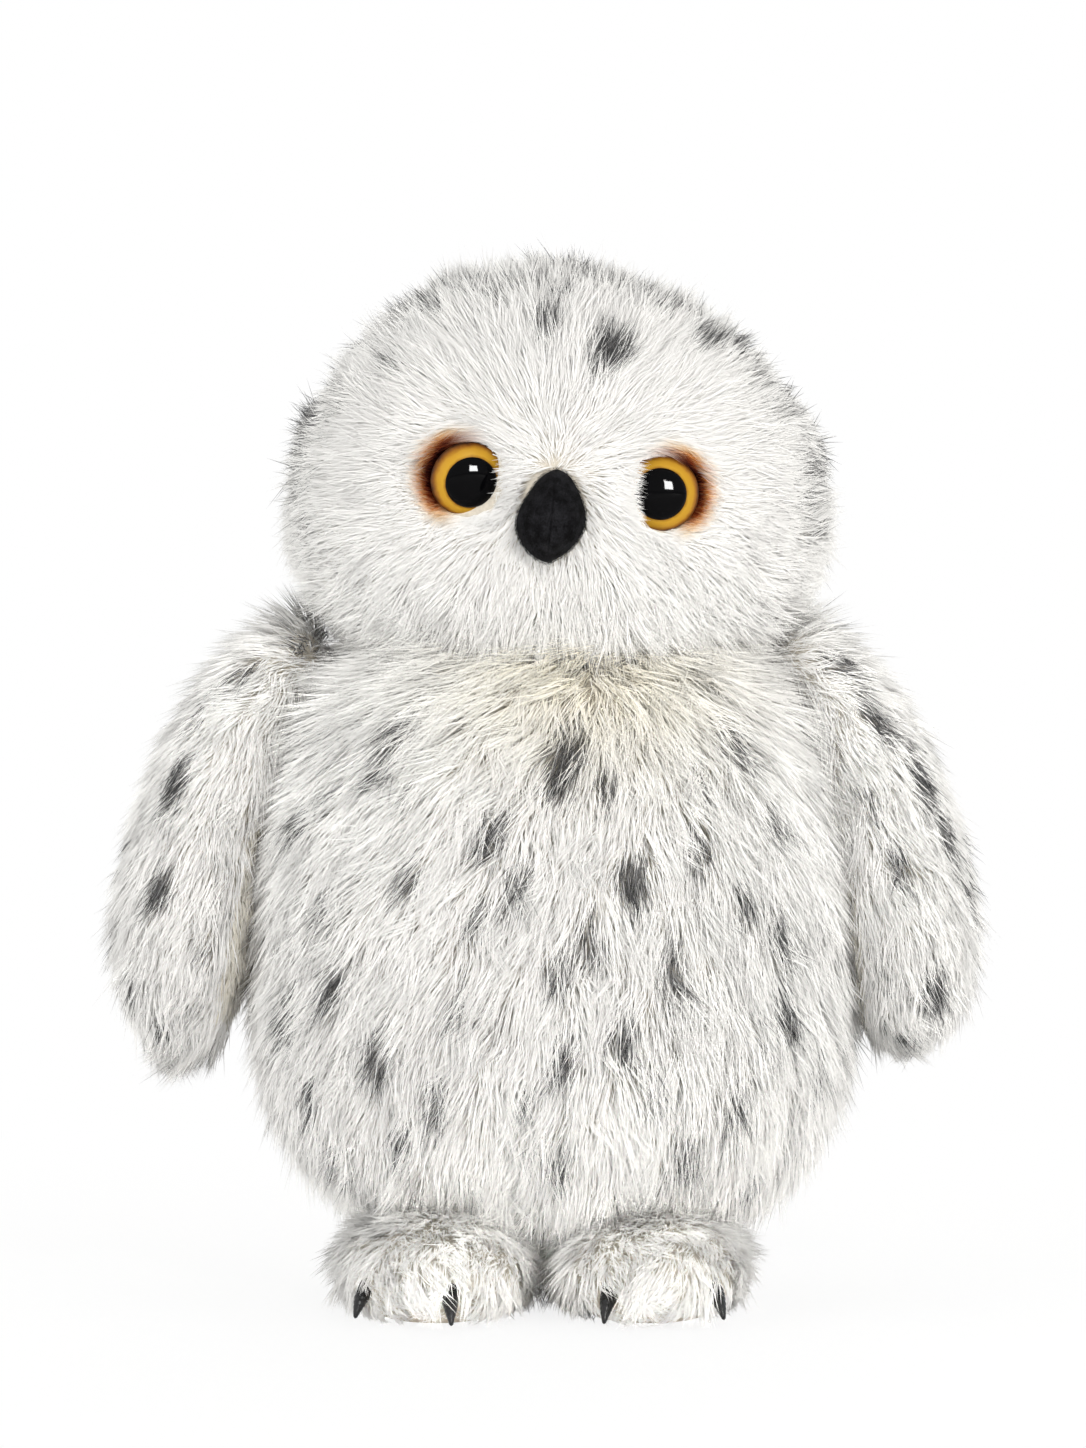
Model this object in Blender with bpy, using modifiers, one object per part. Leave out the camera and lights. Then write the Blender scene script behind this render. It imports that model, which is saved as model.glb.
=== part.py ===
"""Plush snowy owl, standing on two flat-soled feet and facing -Y.

Metres, +Z up, origin on the floor under the middle of the owl. The outer face of each plush solid
lies a few millimetres under the tips of the fur, and its wall is dense pile and backing cloth
together. Left and right are as seen from the front.
"""

import math

import bmesh
import bpy
from mathutils import Matrix, Vector

MM = 0.001

# Clearances and cutters
FIT_GAP = 0.3 * MM  # between pieces that touch
FIBRE_GAP = 0.5 * MM  # between a cover and the fibre in it, whose facets don't run alike
NECK_GAP = 0.7 * MM  # round the neck ball, whose facets turn in their pocket
OVERRUN = 15 * MM  # how far a cutter runs past what it cuts
MERGE = 0.01 * MM  # points of a turned profile this near its axis are one

# Body
BODY_WIDTH = 160 * MM
BODY_DEPTH = 140 * MM
BODY_HEIGHT = 179.5 * MM
BODY_OFF_FLOOR = 15.5 * MM
BODY_SHIFT = 2.5 * MM  # the stuffing leans this far to the right
BODY_WALL = 12 * MM
BASE_PANEL_HEIGHT = 15 * MM  # seam of the base panel above the lowest end of the body
PELLET_BAG_HEIGHT = 52 * MM  # top of the pellet bag above the lowest end of the body

# Neck and head
NECK_SINK = 6 * MM  # pivot of the head below the top of the body
NECK_HEIGHT = BODY_OFF_FLOOR + BODY_HEIGHT - NECK_SINK
NECK_SHIFT = 4 * MM  # the head sits this far to the right
NECK_BALL_DIAMETER = 48 * MM
NECK_GROOVE_SLOPE = math.radians(3.5)  # head and body each fall away from the pivot by this
HEAD_WIDTH = 144 * MM
HEAD_DEPTH = 131 * MM
HEAD_RISE = 107 * MM  # from the pivot to the crown
HEAD_SINK = 8 * MM  # from the pivot down to the end of the form, which the groove cuts away
HEAD_WALL = 13 * MM
FACE_SEAM_FORWARD = 39 * MM  # seam of the face panel in front of the pivot, at eye height
FACE_SEAM_LEAN = math.radians(23)

# Face
EYES_ABOVE_NECK = 47.5 * MM
EYE_SPACING = 54 * MM
FACE_SHIFT = 1.3 * MM  # the face is this far to the right of the pivot
FACE_ROLL = math.radians(4.5)  # the line through the eyes drops to the right by this
EYE_DIAMETER = 22 * MM
EYE_RIM = 1.0 * MM
EYE_DOME = 3.6 * MM  # rise of the iris from its rim to the seat of the pupil
EYE_SINK = 6.2 * MM  # the pupil's top lies this far behind the middle of the face
PUPIL_DIAMETER = 14.8 * MM
PUPIL_DOME = 2.8 * MM
STEM_DIAMETER = 4.6 * MM
BACKING_PINCH = 3.2 * MM  # cloth between the eye and its washer
WASHER_DIAMETER = 15 * MM
WASHER_THICKNESS = 1.8 * MM
STEM_TAIL = 2.6 * MM  # length of stem behind the washer
BEAK_WIDTH = 20 * MM
BEAK_LENGTH = 27 * MM
BEAK_DEPTH = 19 * MM
BEAK_PROUD = 11 * MM  # how far the beak stands out of the face
BEAK_BELOW_EYES = 8.5 * MM
BEAK_SHIFT = -3.2 * MM
BEAK_LEAN = math.radians(4.7)  # the tip points to the left by this, beside the roll of the face
FELT = 1.5 * MM

# Wings
WING_LENGTH = 121 * MM
WING_CHORD = 66 * MM
WING_THICKNESS = 42 * MM
WING_STAND_OUT = 21.5 * MM  # middle of a wing at its widest, outside the side of the body
WING_REACH = BODY_WIDTH / 2 + WING_STAND_OUT
WING_BACK = 3 * MM  # wings and the body's side seams lie this far behind the middle of the owl
WING_WALL = 8.5 * MM
WING_LINING_DEPTH = 9.5 * MM  # from a wing's inner face to the seam of its lining
SHOULDER_RISE = 3 * MM  # shoulders above the pivot of the head
SHOULDER_HEIGHT = NECK_HEIGHT + SHOULDER_RISE
SHOULDER_INSET = 16 * MM  # shoulder joint inside the side of the body
SHOULDER_REACH = BODY_WIDTH / 2 - SHOULDER_INSET

# Feet
FOOT_WIDTH = 52 * MM
FOOT_LENGTH = 96 * MM
FOOT_HEIGHT = 29 * MM
FOOT_SPLIT = 8 * MM  # space between the feet
FOOT_SHIFT = -0.6 * MM
FOOT_FRONT = 76 * MM  # toes in front of the middle of the owl
FOOT_WALL = 6 * MM
SOLE_HEIGHT = 7 * MM  # seam of the sole above the floor
SOLE_CUT = 0.5 * MM  # depth of the flat that a foot stands on
CLAW_LENGTH = 17 * MM
CLAW_DIAMETER = 5.6 * MM
CLAW_TIP_DIAMETER = 1.4 * MM
CLAW_FLANGE_DIAMETER = 8.4 * MM
CLAW_FLANGE = 1.2 * MM
CLAW_ROOT_HEIGHT = 12.5 * MM
CLAW_PROUD = 5 * MM  # how far a claw's tip stands in front of the foot
CLAW_ROOT_PITCH = math.radians(12)
CLAW_TIP_PITCH = math.radians(62)

# Tail
TAIL_LENGTH = 50 * MM
TAIL_WIDTH = 58 * MM
TAIL_THICKNESS = 21 * MM
TAIL_WALL = 5.5 * MM
TAIL_LINING_DEPTH = 6 * MM
TAIL_SEAM_HEIGHT = 84 * MM
TAIL_SEAM_BACK = 60 * MM
TAIL_DROP = math.radians(66)  # below the horizontal, at rest

# Faceting
BODY_SEGMENTS = 12
BODY_LEVELS = 1
LIMB_SEGMENTS = 10
LIMB_LEVELS = 1
INNER_LEVELS = 1
TURNED_STEPS = 16
BALL_SEGMENTS = 20
BALL_RINGS = 10
DOME_STEPS = 3
CLAW_POINTS = 6

# Rings of each form, bottom to top. A ring is its height, width, depth, and its middle's shift to
# the right and to the back, as shares of the form's height, width and depth.
body_ring_shares = [
    (0.09, 0.72, 0.72, 0.00, 0.00),
    (0.27, 0.97, 0.98, 0.00, 0.00),
    (0.51, 1.03, 1.02, 0.00, 0.00),
    (0.74, 0.96, 0.92, 0.00, 0.00),
    (0.92, 0.80, 0.73, 0.01, 0.00),
]
body_end_shares = (0.0, 1.06)
head_ring_shares = [
    (0.09, 0.78, 0.78, 0.00, 0.00),
    (0.26, 1.01, 1.00, 0.00, 0.00),
    (0.51, 1.03, 1.03, 0.00, 0.00),
    (0.75, 0.87, 0.88, 0.00, 0.01),
    (0.92, 0.50, 0.51, 0.00, 0.01),
]
head_end_shares = (0.0, 1.04)
foot_ring_shares = [
    (0.03, 0.84, 0.87, 0.00, 0.00),
    (0.45, 1.06, 1.04, 0.00, 0.00),
    (0.86, 0.76, 0.76, 0.00, 0.03),
]
foot_end_shares = (-0.04, 1.06)
tail_ring_shares = [
    (0.12, 0.86, 0.66, 0.00, 0.00),
    (0.50, 1.04, 1.06, 0.00, 0.00),
    (0.88, 0.72, 0.94, 0.00, 0.00),
]
tail_end_shares = (0.0, 1.03)
beak_ring_shares = [
    (0.08, 0.78, 0.80, 0.00, 0.00),
    (0.38, 1.04, 1.03, 0.00, 0.00),
    (0.74, 0.72, 0.80, 0.00, -0.05),
]
beak_end_shares = (0.0, 1.04)
beak_taper_share = 0.42  # how much narrower the beak is at its tip
# A wing's rings are height, thickness, chord, and how far out its middle is from the shoulder.
wing_ring_shares = [
    (0.11, 0.78, 0.78, 1.01),
    (0.36, 1.03, 1.01, 0.99),
    (0.66, 0.95, 0.98, 0.75),
    (0.89, 0.76, 0.72, 0.42),
]
wing_end_shares = (0.0, 1.02)
wing_end_out_shares = (1.03, 0.12)
claw_splay_share = 0.5  # a claw points out by this share of its turn about the foot

# Where the claws stand on each foot, as turns about its middle from straight ahead to the right
LEFT_CLAW_TURNS = {"outer": math.radians(-52), "inner": math.radians(9)}
RIGHT_CLAW_TURNS = {"inner": math.radians(-27), "outer": math.radians(46)}

BODY_FACETS = (BODY_SEGMENTS, BODY_LEVELS)
LIMB_FACETS = (LIMB_SEGMENTS, LIMB_LEVELS)
LEFT, RIGHT = -1, 1
SIDES = {"left": LEFT, "right": RIGHT}


def clear_scene():
    for thing in list(bpy.data.objects):
        bpy.data.objects.remove(thing, do_unlink=True)


def new_collection(name):
    collection = bpy.data.collections.new(name)
    bpy.context.scene.collection.children.link(collection)
    return collection


def finish(name, colour, roughness):
    """A plain Principled finish for one sub-part."""
    made = bpy.data.materials.new(name)
    made.use_nodes = True
    shader = made.node_tree.nodes["Principled BSDF"]
    shader.inputs["Base Color"].default_value = (*colour, 1.0)
    shader.inputs["Roughness"].default_value = roughness
    shader.inputs["Metallic"].default_value = 0.0
    made.diffuse_color = (*colour, 1.0)
    return made


def long_pile(name):
    return finish(name, (0.86, 0.86, 0.84), 0.9)


def short_pile(name):
    return finish(name, (0.80, 0.77, 0.70), 0.92)


def fibre(name):
    return finish(name, (0.90, 0.90, 0.90), 1.0)


def pellet_cloth(name):
    return finish(name, (0.62, 0.60, 0.55), 0.85)


def black_felt(name):
    return finish(name, (0.015, 0.015, 0.017), 0.95)


def black_plastic(name):
    return finish(name, (0.008, 0.008, 0.009), 0.12)


def amber_plastic(name):
    return finish(name, (0.72, 0.36, 0.04), 0.3)


def washer_plastic(name):
    return finish(name, (0.75, 0.75, 0.72), 0.45)


def add_piece(name, data, material):
    piece = bpy.data.objects.new(name, data)
    owl.objects.link(piece)
    data.materials.append(material(name))
    return piece


def add_cutter(name, data):
    cutter = bpy.data.objects.new(name, data)
    cutters.objects.link(cutter)
    cutter.hide_render = True
    cutter.display_type = "WIRE"
    return cutter


def cut(piece, *tools, operation="DIFFERENCE"):
    for tool in tools:
        boolean = piece.modifiers.new(tool.name, "BOOLEAN")
        boolean.operation = operation
        boolean.solver = "EXACT"
        boolean.object = tool


def carrier(name, place, parent=None):
    """An empty on a joint's axis. What moves with the joint is parented to it."""
    empty = bpy.data.objects.new(name, None)
    owl.objects.link(empty)
    empty.location = place
    if parent:
        empty.parent = parent
        empty.matrix_parent_inverse = Matrix.Translation(-world_place(parent))
    return empty


def world_place(empty):
    """Where an empty stands. Each is placed in the owl's frame, whatever carries it."""
    return Vector(empty.location)


def carry(empty, *pieces):
    """The pieces, placed in the owl's frame, move with the empty."""
    for piece in pieces:
        piece.parent = empty
        piece.matrix_parent_inverse = Matrix.Translation(-world_place(empty))


class Form:
    """A soft form: rings between two ends, rounded by subdivision.

    A ring is (height, half width, half depth, shift right, shift back). The ends are points. place
    puts the form in the owl's frame, and taper narrows each ring towards its front. facets are the
    corners round a ring and the levels of subdivision.
    """

    def __init__(self, rings, ends, place, facets, taper=0.0):
        self.rings = rings
        self.segments, self.levels = facets
        self.low_end, self.high_end = (Vector(end) for end in ends)
        self.place = place
        self.taper = taper

    def drawn_in(self, depth):
        """The form with every face moved in by about depth, or out where depth is negative."""
        middle = (self.low_end.z + self.high_end.z) / 2
        closer = 1 - 2 * depth / (self.high_end.z - self.low_end.z)
        rings = []
        for height, half_width, half_depth, right, back in self.rings:
            height = middle + (height - middle) * closer
            rings.append((height, half_width - depth, half_depth - depth, right, back))
        step = Vector((0, 0, depth))
        ends = (self.low_end + step, self.high_end - step)
        return Form(rings, ends, self.place, (self.segments, self.levels), self.taper)

    def mesh(self, name):
        """A coarse globe whose rings are moved to the form's.

        Smoothing a ring of n corners draws it in to (2 + cos(360 / n)) / 3 of its size, so the
        corners stand out by as much.
        """
        swell = 3 / (2 + math.cos(math.tau / self.segments))
        steps = len(self.rings) + 1
        globe = bmesh.new()
        bmesh.ops.create_uvsphere(globe, u_segments=self.segments, v_segments=steps, radius=1)
        for corner in globe.verts:
            polar = math.acos(max(-1, min(1, corner.co.z)))
            step = round((1 - polar / math.pi) * steps)
            if step == 0:
                corner.co = self.low_end
            elif step == steps:
                corner.co = self.high_end
            else:
                height, half_width, half_depth, right, back = self.rings[step - 1]
                across = corner.co.xy.normalized()
                narrow = 1 - self.taper * max(0, -across.y)
                corner.co.x = right + across.x * half_width * narrow * swell
                corner.co.y = back + across.y * half_depth * swell
                corner.co.z = height
        globe.transform(self.place)
        made = bpy.data.meshes.new(name)
        globe.to_mesh(made)
        globe.free()
        made.shade_smooth()
        return made

    def piece(self, name, material, levels=None):
        return rounded(add_piece(name, self.mesh(name), material), levels or self.levels)

    def cutter(self, name, levels=None):
        return rounded(add_cutter(name, self.mesh(name)), levels or self.levels)


def rounded(cage, levels):
    rounding = cage.modifiers.new("rounding", "SUBSURF")
    rounding.levels = levels
    rounding.render_levels = levels
    return cage


def shaped(shares, end_shares, width, depth, height, place, facets, taper=0.0):
    """The form whose rings are these shares of its width, depth and height."""
    rings = []
    for up, wide, deep, right, back in shares:
        rings.append((up * height, wide * width / 2, deep * depth / 2, right * width, back * depth))
    ends = [(0, 0, end * height) for end in end_shares]
    return Form(rings, ends, place, facets, taper)


def half_space(name, place, normal, span):
    """A box cutter that fills the side of a plane that normal points to."""
    box = bmesh.new()
    bmesh.ops.create_cube(box, size=span)
    turn = normal.to_track_quat("Z", "Y").to_matrix().to_4x4()
    box.transform(Matrix.Translation(place) @ turn @ Matrix.Translation((0, 0, span / 2)))
    made = bpy.data.meshes.new(name)
    box.to_mesh(made)
    box.free()
    return add_cutter(name, made)


def seam(name, place, normal, span):
    """Two cutters that part pieces along a plane, a fit gap apart. The first takes away what lies on
    the side that normal points to, and the second takes away the rest."""
    normal = Vector(normal).normalized()
    step = normal * FIT_GAP / 2
    beyond = half_space(name + "_beyond", place - step, normal, span)
    before = half_space(name + "_before", place + step, -normal, span)
    return beyond, before


def turn(profile_object):
    """Turns a profile in the XZ plane about its object's Z axis."""
    screw = profile_object.modifiers.new("turning", "SCREW")
    screw.steps = TURNED_STEPS
    screw.render_steps = TURNED_STEPS
    screw.use_merge_vertices = True
    screw.merge_threshold = MERGE
    screw.use_smooth_shade = True
    return profile_object


def profile(name, points, closed):
    """A profile of (radius, height) points, which run down its outer side."""
    made = bpy.data.meshes.new(name)
    edges = [(k, k + 1) for k in range(len(points) - 1)]
    if closed:
        edges.append((len(points) - 1, 0))
    made.from_pydata([(radius, 0, height) for radius, height in points], edges, [])
    return made


def turned_piece(name, points, place, material, closed=False):
    piece = turn(add_piece(name, profile(name, points, closed), material))
    piece.matrix_world = place
    return piece


def turned_cutter(name, points, place, closed=False):
    cutter = turn(add_cutter(name, profile(name, points, closed)))
    cutter.matrix_world = place
    return cutter


def dome_points(edge_radius, edge_height, rise, inner_radius=0.0):
    """Points from inner_radius out to the edge of a ball's cap. With h the height of the edge above
    the ball's middle, h squared + edge squared = (h + rise) squared + inner squared."""
    edge_above = (edge_radius**2 - inner_radius**2 - rise**2) / (2 * rise)
    radius = math.hypot(edge_above, edge_radius)
    points = []
    for k in range(DOME_STEPS + 1):
        across = inner_radius + (edge_radius - inner_radius) * k / DOME_STEPS
        points.append((across, edge_height - edge_above + math.sqrt(radius**2 - across**2)))
    return points


def ball_cutter(name, radius, place):
    ball = bmesh.new()
    bmesh.ops.create_uvsphere(ball, u_segments=BALL_SEGMENTS, v_segments=BALL_RINGS, radius=radius)
    made = bpy.data.meshes.new(name)
    ball.to_mesh(made)
    ball.free()
    cutter = add_cutter(name, made)
    cutter.location = place
    return cutter


def groove_cutters():
    """Cutters for the underside of the head and the top of the body: cones that part from the pivot,
    so that the head can turn and nod."""
    reach = BODY_WIDTH + HEAD_WIDTH
    drop = reach * math.tan(NECK_GROOVE_SLOPE)
    far = HEAD_SINK + BODY_HEIGHT
    place = Matrix.Translation(pivot)
    under = turned_cutter("under_head", [(0, MERGE), (reach, drop), (reach, -far), (0, -far)], place)
    over = turned_cutter("over_body", [(0, far), (reach, far), (reach, -drop), (0, -MERGE)], place)
    return under, over


def build_torso():
    """Cover of three panels, fibre, and the pellet bag below it. Returns the form."""
    low = Matrix.Translation((BODY_SHIFT, 0, BODY_OFF_FLOOR))
    sizes = (BODY_WIDTH, BODY_DEPTH, BODY_HEIGHT)
    form = shaped(body_ring_shares, body_end_shares, *sizes, low, BODY_FACETS)
    hollow = form.drawn_in(BODY_WALL).cutter("body_hollow", INNER_LEVELS)
    span = 2 * (BODY_WIDTH + BODY_HEIGHT)
    lowest = low.translation
    side_seam = lowest + Vector((0, WING_BACK, 0))
    to_back, to_front = seam("body_side_seam", side_seam, (0, 1, 0), span)
    base_seam = lowest + Vector((0, 0, BASE_PANEL_HEIGHT))
    above_base, below_base = seam("body_base_seam", base_seam, (0, 0, 1), span)
    bag_seam = lowest + Vector((0, 0, PELLET_BAG_HEIGHT))
    above_bag, below_bag = seam("pellet_bag_seam", bag_seam, (0, 0, 1), span)

    front = form.piece("body_front_panel", long_pile)
    cut(front, over_body, below_base, hollow, to_back, neck_pocket)
    back = form.piece("body_back_panel", long_pile)
    cut(back, over_body, below_base, hollow, to_front, neck_pocket)
    base = form.piece("body_base_panel", short_pile)
    cut(base, hollow, above_base)

    stuffing = form.drawn_in(BODY_WALL + FIBRE_GAP)
    fill = stuffing.piece("body_fill", fibre, INNER_LEVELS)
    cut(fill, over_body, neck_pocket, below_bag)
    bag = stuffing.piece("pellet_bag", pellet_cloth, INNER_LEVELS)
    cut(bag, above_bag)
    carry(torso, front, back, base, fill, bag)
    return form


def build_neck():
    ball = bmesh.new()
    radius = NECK_BALL_DIAMETER / 2
    bmesh.ops.create_uvsphere(ball, u_segments=BALL_SEGMENTS, v_segments=BALL_RINGS, radius=radius)
    made = bpy.data.meshes.new("neck_fill")
    ball.to_mesh(made)
    ball.free()
    piece = add_piece("neck_fill", made, fibre)
    piece.location = pivot
    carry(neck, piece)


def build_head():
    """Face and back panels over the fibre, with the sockets of the eyes and the beak."""
    low = Matrix.Translation(pivot - Vector((0, 0, HEAD_SINK)))
    sizes = (HEAD_WIDTH, HEAD_DEPTH, HEAD_RISE + HEAD_SINK)
    form = shaped(head_ring_shares, head_end_shares, *sizes, low, BODY_FACETS)
    hollow = form.drawn_in(HEAD_WALL).cutter("head_hollow", INNER_LEVELS)
    eye_height = pivot + Vector((0, -FACE_SEAM_FORWARD, EYES_ABOVE_NECK))
    lean = Matrix.Rotation(FACE_SEAM_LEAN, 3, "X") @ Vector((0, 1, 0))
    to_back, to_face = seam("face_seam", eye_height, lean, HEAD_WIDTH + HEAD_RISE)

    face_panel = form.piece("face_panel", long_pile)
    cut(face_panel, hollow, under_head, neck_pocket, to_back)
    back_panel = form.piece("head_back_panel", long_pile)
    cut(back_panel, hollow, under_head, neck_pocket, to_face)
    fill = form.drawn_in(HEAD_WALL + FIBRE_GAP).piece("head_fill", fibre, INNER_LEVELS)
    cut(fill, under_head, neck_pocket)
    carry(head, face_panel, back_panel, fill)

    face_middle = Vector((pivot.x + FACE_SHIFT, 0, pivot.z + EYES_ABOVE_NECK))
    face_frame = Matrix.Translation(face_middle) @ Matrix.Rotation(FACE_ROLL, 4, "Y")
    for side_name, side in SIDES.items():
        socket = build_eye(side_name, side, face_frame)
        cut(face_panel, socket)
        cut(fill, socket)
    cut(face_panel, build_beak(face_frame))


def build_eye(side_name, side, face_frame):
    """Iris with its bore, pupil with its stem, and the washer that locks the stem behind the cloth.

    Returns the cutter of the eye's socket. An eye's own frame has +Z out of the face, from the plane
    of the iris's back.
    """
    iris_radius = EYE_DIAMETER / 2
    pupil_radius = PUPIL_DIAMETER / 2
    stem = STEM_DIAMETER / 2
    washer_radius = WASHER_DIAMETER / 2
    seat = EYE_RIM + EYE_DOME
    top = seat + FIT_GAP + PUPIL_DOME
    forward = HEAD_DEPTH / 2 - EYE_SINK - top
    place = face_frame @ Matrix.Translation((side * EYE_SPACING / 2, -forward, 0)) @ FACING_OUT

    bore = stem + FIT_GAP
    iris_points = [(bore, seat)] + dome_points(iris_radius, EYE_RIM, EYE_DOME, pupil_radius)
    iris_points += [(iris_radius, 0), (bore, 0)]
    iris = turned_piece(side_name + "_eye_iris", iris_points, place, amber_plastic, closed=True)

    washer_front = -BACKING_PINCH
    washer_back = washer_front - WASHER_THICKNESS
    stem_end = washer_back - STEM_TAIL
    pupil_points = dome_points(pupil_radius, seat + FIT_GAP, PUPIL_DOME)
    pupil_points += [(stem, seat + FIT_GAP), (stem, stem_end), (0, stem_end)]
    pupil = turned_piece(side_name + "_eye_pupil", pupil_points, place, black_plastic)

    washer_points = [(bore, washer_front), (washer_radius, washer_front)]
    washer_points += [(washer_radius, washer_back), (bore, washer_back)]
    washer = turned_piece(side_name + "_eye_washer", washer_points, place, washer_plastic, closed=True)
    carry(head, iris, pupil, washer)

    socket = iris_radius + FIT_GAP
    recess = washer_radius + FIT_GAP
    socket_points = [(0, top + OVERRUN), (socket, top + OVERRUN), (socket, -FIT_GAP), (bore, -FIT_GAP)]
    socket_points += [(bore, washer_front + FIT_GAP), (recess, washer_front + FIT_GAP)]
    socket_points += [(recess, washer_back - FIT_GAP), (bore, washer_back - FIT_GAP)]
    socket_points += [(bore, stem_end - FIT_GAP), (0, stem_end - FIT_GAP)]
    return turned_cutter(side_name + "_eye_socket", socket_points, place)


def build_beak(face_frame):
    """Two felt panels sewn along the ridge, over a little fibre. Returns the cutter of its socket."""
    forward = HEAD_DEPTH / 2 + BEAK_PROUD - BEAK_DEPTH
    place = face_frame @ Matrix.Translation((BEAK_SHIFT, -forward, -BEAK_BELOW_EYES))
    place = place @ Matrix.Rotation(BEAK_LEAN, 4, "Y") @ FACING_OUT
    sizes = (BEAK_WIDTH, BEAK_LENGTH, BEAK_DEPTH)
    form = shaped(beak_ring_shares, beak_end_shares, *sizes, place, LIMB_FACETS, beak_taper_share)
    hollow = form.drawn_in(FELT).cutter("beak_hollow", INNER_LEVELS)
    across = place.to_3x3() @ Vector((1, 0, 0))
    to_right, to_left = seam("beak_ridge_seam", place.translation, across, BEAK_LENGTH + BEAK_WIDTH)
    left = form.piece("beak_left_panel", black_felt)
    cut(left, hollow, to_right)
    right = form.piece("beak_right_panel", black_felt)
    cut(right, hollow, to_left)
    fill = form.drawn_in(FELT + FIBRE_GAP).piece("beak_fill", fibre, INNER_LEVELS)
    carry(head, left, right, fill)
    return form.drawn_in(-FIT_GAP).cutter("beak_socket")


def wing_form(side):
    """The rings of a wing stand out from the shoulder by shares of the wing's reach."""
    low = Matrix.Translation((0, WING_BACK, SHOULDER_HEIGHT - WING_LENGTH))
    spread = WING_REACH - SHOULDER_REACH
    rings = []
    for up, thick, chord, out in wing_ring_shares:
        right = side * (SHOULDER_REACH + out * spread)
        rings.append((up * WING_LENGTH, thick * WING_THICKNESS / 2, chord * WING_CHORD / 2, right, 0))
    ends = []
    for up, out in zip(wing_end_shares, wing_end_out_shares):
        ends.append((side * (SHOULDER_REACH + out * spread), 0, up * WING_LENGTH))
    return Form(rings, ends, low, LIMB_FACETS)


def build_wing(side_name, side, body_clear):
    form = wing_form(side)
    hollow = form.drawn_in(WING_WALL).cutter(side_name + "_wing_hollow", INNER_LEVELS)
    lower, upper = form.rings[1], form.rings[-1]
    inner = [
        form.place @ Vector((ring[3] - side * (ring[1] - WING_LINING_DEPTH), 0, ring[0]))
        for ring in (lower, upper)
    ]
    along = inner[1] - inner[0]
    inward = Vector((-side * along.z, 0, side * along.x))
    to_body, to_outside = seam(side_name + "_wing_seam", inner[0], inward, 2 * WING_LENGTH)

    outer = form.piece(side_name + "_wing_outer", long_pile)
    cut(outer, hollow, to_body, body_clear)
    lining = form.piece(side_name + "_wing_lining", short_pile)
    cut(lining, hollow, to_outside, body_clear)
    fill = form.drawn_in(WING_WALL + FIBRE_GAP).piece(side_name + "_wing_fill", fibre, INNER_LEVELS)
    cut(fill, body_clear)
    hinge = carrier(side_name + "_wing_hinge", (side * SHOULDER_REACH, 0, SHOULDER_HEIGHT), torso)
    carry(hinge, outer, lining, fill)


def foot_middle(side):
    across = FOOT_SHIFT + side * (FOOT_SPLIT + FOOT_WIDTH) / 2
    return Vector((across, FOOT_LENGTH / 2 - FOOT_FRONT, 0))


def build_foot(side_name, side, claw_turns, body_clear):
    middle = foot_middle(side)
    low = Matrix.Translation(middle - Vector((0, 0, SOLE_CUT)))
    sizes = (FOOT_WIDTH, FOOT_LENGTH, FOOT_HEIGHT + SOLE_CUT)
    form = shaped(foot_ring_shares, foot_end_shares, *sizes, low, LIMB_FACETS)
    hollow = form.drawn_in(FOOT_WALL).cutter(side_name + "_foot_hollow", INNER_LEVELS)
    span = FOOT_LENGTH + OVERRUN
    floor = half_space(side_name + "_foot_floor", middle, Vector((0, 0, -1)), span)
    sole_seam = middle + Vector((0, 0, SOLE_HEIGHT))
    above, below = seam(side_name + "_sole_seam", sole_seam, (0, 0, 1), span)

    upper = form.piece(side_name + "_foot_upper", long_pile)
    cut(upper, below, hollow, body_clear)
    sole = form.piece(side_name + "_foot_sole", short_pile)
    cut(sole, above, floor, hollow)
    fill = form.drawn_in(FOOT_WALL + FIBRE_GAP).piece(side_name + "_foot_fill", fibre, INNER_LEVELS)
    cut(fill, below, body_clear)
    carry(torso, upper, sole, fill)
    for claw_name, turned_by in claw_turns.items():
        pocket = build_claw(f"{side_name}_foot_{claw_name}_claw", middle, turned_by)
        cut(upper, pocket)
        cut(fill, pocket)


def claw_path(middle, turned_by):
    """Points and radii along a claw, from its flange to its tip. It heads out of the foot level, and
    its pitch grows steadily."""
    edge = Vector((math.sin(turned_by) * FOOT_WIDTH / 2, -math.cos(turned_by) * FOOT_LENGTH / 2, 0))
    splay = claw_splay_share * turned_by
    outward = Vector((math.sin(splay), -math.cos(splay), 0))
    step = CLAW_LENGTH / CLAW_POINTS
    points, reach, drop = [], 0, 0
    for k in range(CLAW_POINTS + 1):
        points.append((reach, drop))
        pitch = CLAW_ROOT_PITCH + (CLAW_TIP_PITCH - CLAW_ROOT_PITCH) * (k + 0.5) / CLAW_POINTS
        reach += step * math.cos(pitch)
        drop += step * math.sin(pitch)
    full_reach = points[-1][0]
    placed, radii = [], []
    for k, (reach, drop) in enumerate(points):
        out = outward * (CLAW_PROUD - full_reach + reach)
        placed.append(middle + edge + out + Vector((0, 0, CLAW_ROOT_HEIGHT - drop)))
        share = k / CLAW_POINTS
        thin = share**2
        radii.append((CLAW_DIAMETER * (1 - thin) + CLAW_TIP_DIAMETER * thin) / 2)
    first = (placed[1] - placed[0]).normalized()
    flange_end = placed[0] + first * CLAW_FLANGE
    neck = flange_end + first * MERGE
    points = [placed[0], flange_end, neck] + placed[1:]
    flange = CLAW_FLANGE_DIAMETER / 2
    return points, [flange, flange, radii[0]] + radii[1:]


def tube(name, points, radii):
    """A tapered tube with filled ends, along straight steps between the points."""
    curve = bpy.data.curves.new(name, "CURVE")
    curve.dimensions = "3D"
    curve.bevel_depth = 1
    curve.bevel_resolution = 1
    curve.use_fill_caps = True
    line = curve.splines.new("POLY")
    line.points.add(len(points) - 1)
    for corner, point, radius in zip(line.points, points, radii):
        corner.co = (*point, 1)
        corner.radius = radius
    return curve


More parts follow.
